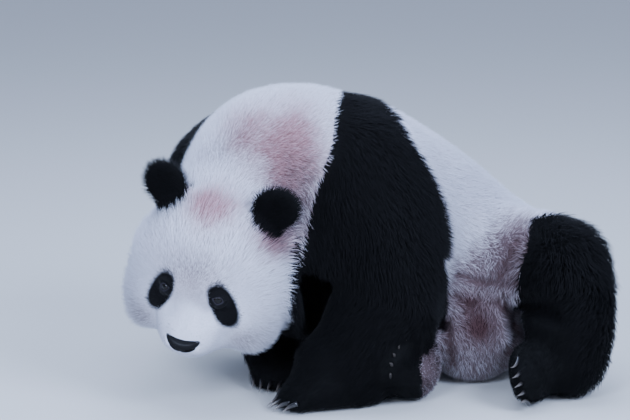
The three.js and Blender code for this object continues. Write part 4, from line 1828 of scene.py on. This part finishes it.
class Recipe:
    """A material in the making: one Principled surface, and the nodes that colour it."""

    def __init__(self, name: str, finish: Finish) -> None:
        """Starts a material.

        Args:
            name: Its name.
            finish: Constants of its surface.
        """
        self.material = bpy.data.materials.new(name)
        self.material.use_nodes = True
        self.tree = self.material.node_tree
        self.surface = self.tree.nodes["Principled BSDF"]
        values = {
            "Roughness": finish.roughness,
            "Specular IOR Level": finish.specular,
            "Sheen Weight": finish.sheen,
            "Sheen Roughness": finish.sheen_roughness,
            "Coat Weight": finish.coat,
            "Coat Roughness": finish.coat_roughness,
        }
        for socket, value in values.items():
            self.surface.inputs[socket].default_value = value

    def add(self, kind: str, settings: dict | None = None, links: dict | None = None) -> bpy.types.Node:
        """Adds a node.

        Args:
            kind: The node's type, without the prefix.
            settings: Its properties by name in small letters, and its sockets' values by name or number.
            links: Sockets that feed its inputs, by input name or number.
        Returns:
            The node.
        """
        node = self.tree.nodes.new("ShaderNode" + kind)
        for key, value in (settings or {}).items():
            if isinstance(key, str) and key.islower():
                setattr(node, key, value)
            else:
                node.inputs[key].default_value = value
        for key, source in (links or {}).items():
            self.tree.links.new(source, node.inputs[key])
        return node

    def over(
        self, low: Hue | Socket, top: Hue | Socket, by: str | Socket, reach: tuple = (), most: float = 1.0
    ) -> Socket:
        """Lays one colour over another.

        Args:
            low: The colour below.
            top: The colour above.
            by: What it comes in by: a value of the mesh, by name, or a socket.
            reach: Range of that over which it comes in smoothly. Without one it comes in evenly.
            most: How much of it shows at the end of the range.
        Returns:
            The colour that comes out.
        """
        share = self.add("Attribute", {"attribute_name": by}).outputs["Fac"] if isinstance(by, str) else by
        if reach:
            curve = {"interpolation_type": "SMOOTHSTEP", 1: reach[0], 2: reach[1], 4: most}
            share = self.add("MapRange", curve, {0: share}).outputs[0]
        settings, links = {"data_type": "RGBA"}, {0: share}
        for number, colour in ((6, low), (7, top)):
            if isinstance(colour, Hue):
                settings[number] = linear(colour)
            else:
                links[number] = colour
        return self.add("Mix", settings, links).outputs[2]

    def grain(self, kind: str, size: float, settings: dict | None = None) -> Socket:
        """Texture on the model whose grain has a real size.

        Args:
            kind: Type of the texture's node, without the prefix.
            size: Size of a grain in millimetres.
            settings: Its other settings.
        Returns:
            Its first output.
        """
        place = self.add("TexCoord").outputs["Object"]
        return self.add(kind, {"Scale": 1 / (size * MM), **(settings or {})}, {"Vector": place}).outputs[0]

    def dress(
        self, colour: Socket, relief: Socket | None = None, deep: float = 0.0, strength: float = 0.0
    ) -> None:
        """Gives the surface its colour, and a fine relief where it has one.

        Args:
            colour: The colour.
            relief: Height of the relief, from 0 to 1.
            deep: How deep that is, in metres.
            strength: How strongly it shows, from 0 to 1.
        """
        self.tree.links.new(colour, self.surface.inputs["Base Color"])
        if relief:
            bump = self.add("Bump", {"Strength": strength, "Distance": deep}, {"Height": relief})
            self.tree.links.new(bump.outputs[0], self.surface.inputs["Normal"])


def panda_fur() -> bpy.types.Material:
    """Guard hair of a panda: dull at the root, pale or coal black at the tip, with a faint sheen.

    The markings come from values stored on the mesh, and so skin and coat share them. The relief stands for
    single hairs, which are a tenth of a millimetre thick and too fine to show: it is drawn at 1.6 mm.

    Returns:
        The material.
    """
    fur = Recipe("panda_fur", FUR)
    pale = fur.over(Hue.FUR_ROOT, Hue.FUR_TIP, "along", (-0.3, 0.75))
    pale = fur.over(pale, Hue.CREVICE, "tone", (0.0, 1.0), 0.14)
    pale = fur.over(pale, fur.over(Hue.BARE_SKIN, Hue.BLUSH, "along", (0.0, 1.0)), "blush", (0.0, 1.0), 0.9)
    # Soil, and the painted shade on brow and cheeks, turn the pale coat earth brown.
    pale = fur.over(pale, fur.over(Hue.EARTH, Hue.EARTH_TIP, "along"), "soil", (0.0, 1.0), 0.9)
    pale = fur.over(pale, fur.over(Hue.DISC, Hue.DISC_TIP, "along"), "brown")
    black = fur.over(Hue.BLACK_ROOT, Hue.BLACK_TIP, "along", (0.0, 1.0))
    # The lids' rims are laid in lighter grey, a painted highlight of their wet edges.
    black = fur.over(black, Hue.LID, "lid")
    fur.dress(fur.over(pale, black, "dark", (0.42, 0.58)), fur.grain("TexNoise", 1.6), 0.6 * MM, 0.35)
    return fur.material


def wet_eye() -> bpy.types.Material:
    """Living eye: a near black iris under a clear film of tears, which gives one sharp glint.

    Returns:
        The material.
    """
    eye = Recipe("wet_eye", WET_EYE)
    iris = eye.over(Hue.PUPIL, Hue.IRIS, "ring", (0.5, 0.62))
    iris = eye.over(iris, Hue.PUPIL, "ring", (0.85, 1.0))
    eye.dress(eye.over(iris, Hue.SCLERA, "ring", (1.25, 1.6)))
    return eye.material


def nose_leather() -> bpy.types.Material:
    """Bare nose leather: damp black skin with soft highlights.

    Its pebbles are about half a millimetre wide, which is too fine to show: they are drawn at 1.4 mm.

    Returns:
        The material.
    """
    pad = Recipe("nose_leather", WET_PAD)
    pebbles = pad.grain("TexVoronoi", 1.4, {"feature": "DISTANCE_TO_EDGE"})
    pad.dress(pad.over(Hue.NOSE, Hue.BLACK_SKIN, pad.grain("TexNoise", 6)), pebbles, 0.4 * MM, 0.6)
    return pad.material


def claw_horn() -> bpy.types.Material:
    """Keratin horn: smooth, dark at the root and paler and clearer towards the worn tip. The paler tip is
    partly the horn's own colour and partly a painted highlight, so that the tips show as glints.

    Returns:
        The material.
    """
    horn = Recipe("claw_horn", HORN)
    colour = horn.over(Hue.HORN_ROOT, Hue.HORN_TIP, "along", (0.25, 1.0))
    horn.dress(horn.over(colour, Hue.HORN_ROOT, horn.grain("TexNoise", 3), (0.4, 0.8), 0.4))
    return horn.material


def studio_floor() -> bpy.types.Material:
    """Matte painted floor, plain and pale.

    Returns:
        The material.
    """
    floor = Recipe("studio_floor", MATTE_FLOOR)
    floor.surface.inputs["Base Color"].default_value = linear(Hue.FLOOR)
    return floor.material


# ---------------------------------------------------------------- studio


@dataclass(frozen=True)
class Lamp:
    """A square soft light that shines at the animal: its place and side in metres, its power in watts."""

    name: str
    place: Triple
    size: float
    watts: float
    hue: Hue = Hue.CLOUD_LIGHT

    TARGET = Vector((0, 0, 0.3))

    def hang(self) -> None:
        """Hangs the lamp."""
        light = bpy.data.lights.new(self.name, "AREA")
        light.size = self.size
        light.energy = self.watts
        light.color = linear(self.hue)[:3]
        lamp = add_object(self.name, light)
        lamp.location = self.place
        lamp.rotation_euler = (self.TARGET - Vector(self.place)).to_track_quat("-Z", "Y").to_euler()


@dataclass(frozen=True)
class Studio:
    """Floor, soft light as under an overcast sky, and a camera with a long lens, low in front.

    The camera aims at a place that is given as shares of the whole animal, from so far away in metres.
    """

    lens: float = 128.57
    sensor: float = 36.0
    elevation: float = math.radians(12.5)
    aim: Triple = (0.388, 0.285, 0.618)
    distance: float = 4.5
    sky: float = 0.85
    floor_corners: tuple[Triple, ...] = ((-7, -6, 0), (7, -6, 0), (7, 9, 0), (-7, 9, 0))
    floor_sunk: float = 0.5 * MM
    lamps: tuple[Lamp, ...] = (
        Lamp("overhead", (-0.3, 0.5, 3.3), 2.6, 108),
        Lamp("front", (-1.4, -3.4, 2.2), 1.0, 122),
        Lamp("side", (2.2, -2.4, 2.4), 1.6, 175),
        Lamp("glint", (-0.75, -3.7, 1.75), 0.32, 14, Hue.GLINT_LIGHT),
    )

    def build(self) -> None:
        """Sets up the floor, the light and the camera."""
        self._floor()
        self._light()
        self._camera()

    def _floor(self) -> None:
        """Lays a plain pale floor."""
        corners = np.array(self.floor_corners, float) - (0, 0, self.floor_sunk)
        piece = mesh_object("floor", corners, np.array([(0, 1, 2), (0, 2, 3)]), smooth=False)
        piece.data.materials.append(studio_floor())

    def _light(self) -> None:
        """Lights the animal from the whole sky and with a few lamps."""
        world = bpy.data.worlds.new("sky")
        world.use_nodes = True
        sky = world.node_tree.nodes["Background"]
        sky.inputs["Color"].default_value = linear(Hue.SKY)
        sky.inputs["Strength"].default_value = self.sky
        bpy.context.scene.world = world
        for lamp in self.lamps:
            lamp.hang()

    def _camera(self) -> None:
        """Sets the camera."""
        back = Vector((0, -math.cos(self.elevation), math.sin(self.elevation)))
        data = bpy.data.cameras.new("camera")
        data.lens = self.lens
        data.sensor_width = self.sensor
        camera = add_object("camera", data)
        camera.location = Vector(within(FRAME_BOX, self.aim)) + back * self.distance
        camera.rotation_euler = (-back).to_track_quat("-Z", "Y").to_euler()
        bpy.context.scene.camera = camera


def main() -> None:
    """Builds the animal and its studio."""
    bony = ("eye_left", "eye_right", "nose")
    flesh = sorted(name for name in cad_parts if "_claw" not in name and name not in bony)
    fur = panda_fur()
    skin = Skin.over_flesh(flesh)
    markings = Markings(skin)
    skin.build(markings, fur)
    Coat(skin, markings).grow(fur)
    wet = wet_eye()
    for eye in EYES:
        Eyeball().build(eye, wet)
    NosePad().build(nose_leather())
    Claws().build(claw_horn())
    Studio().build()


if __name__ == "__main__":
    main()
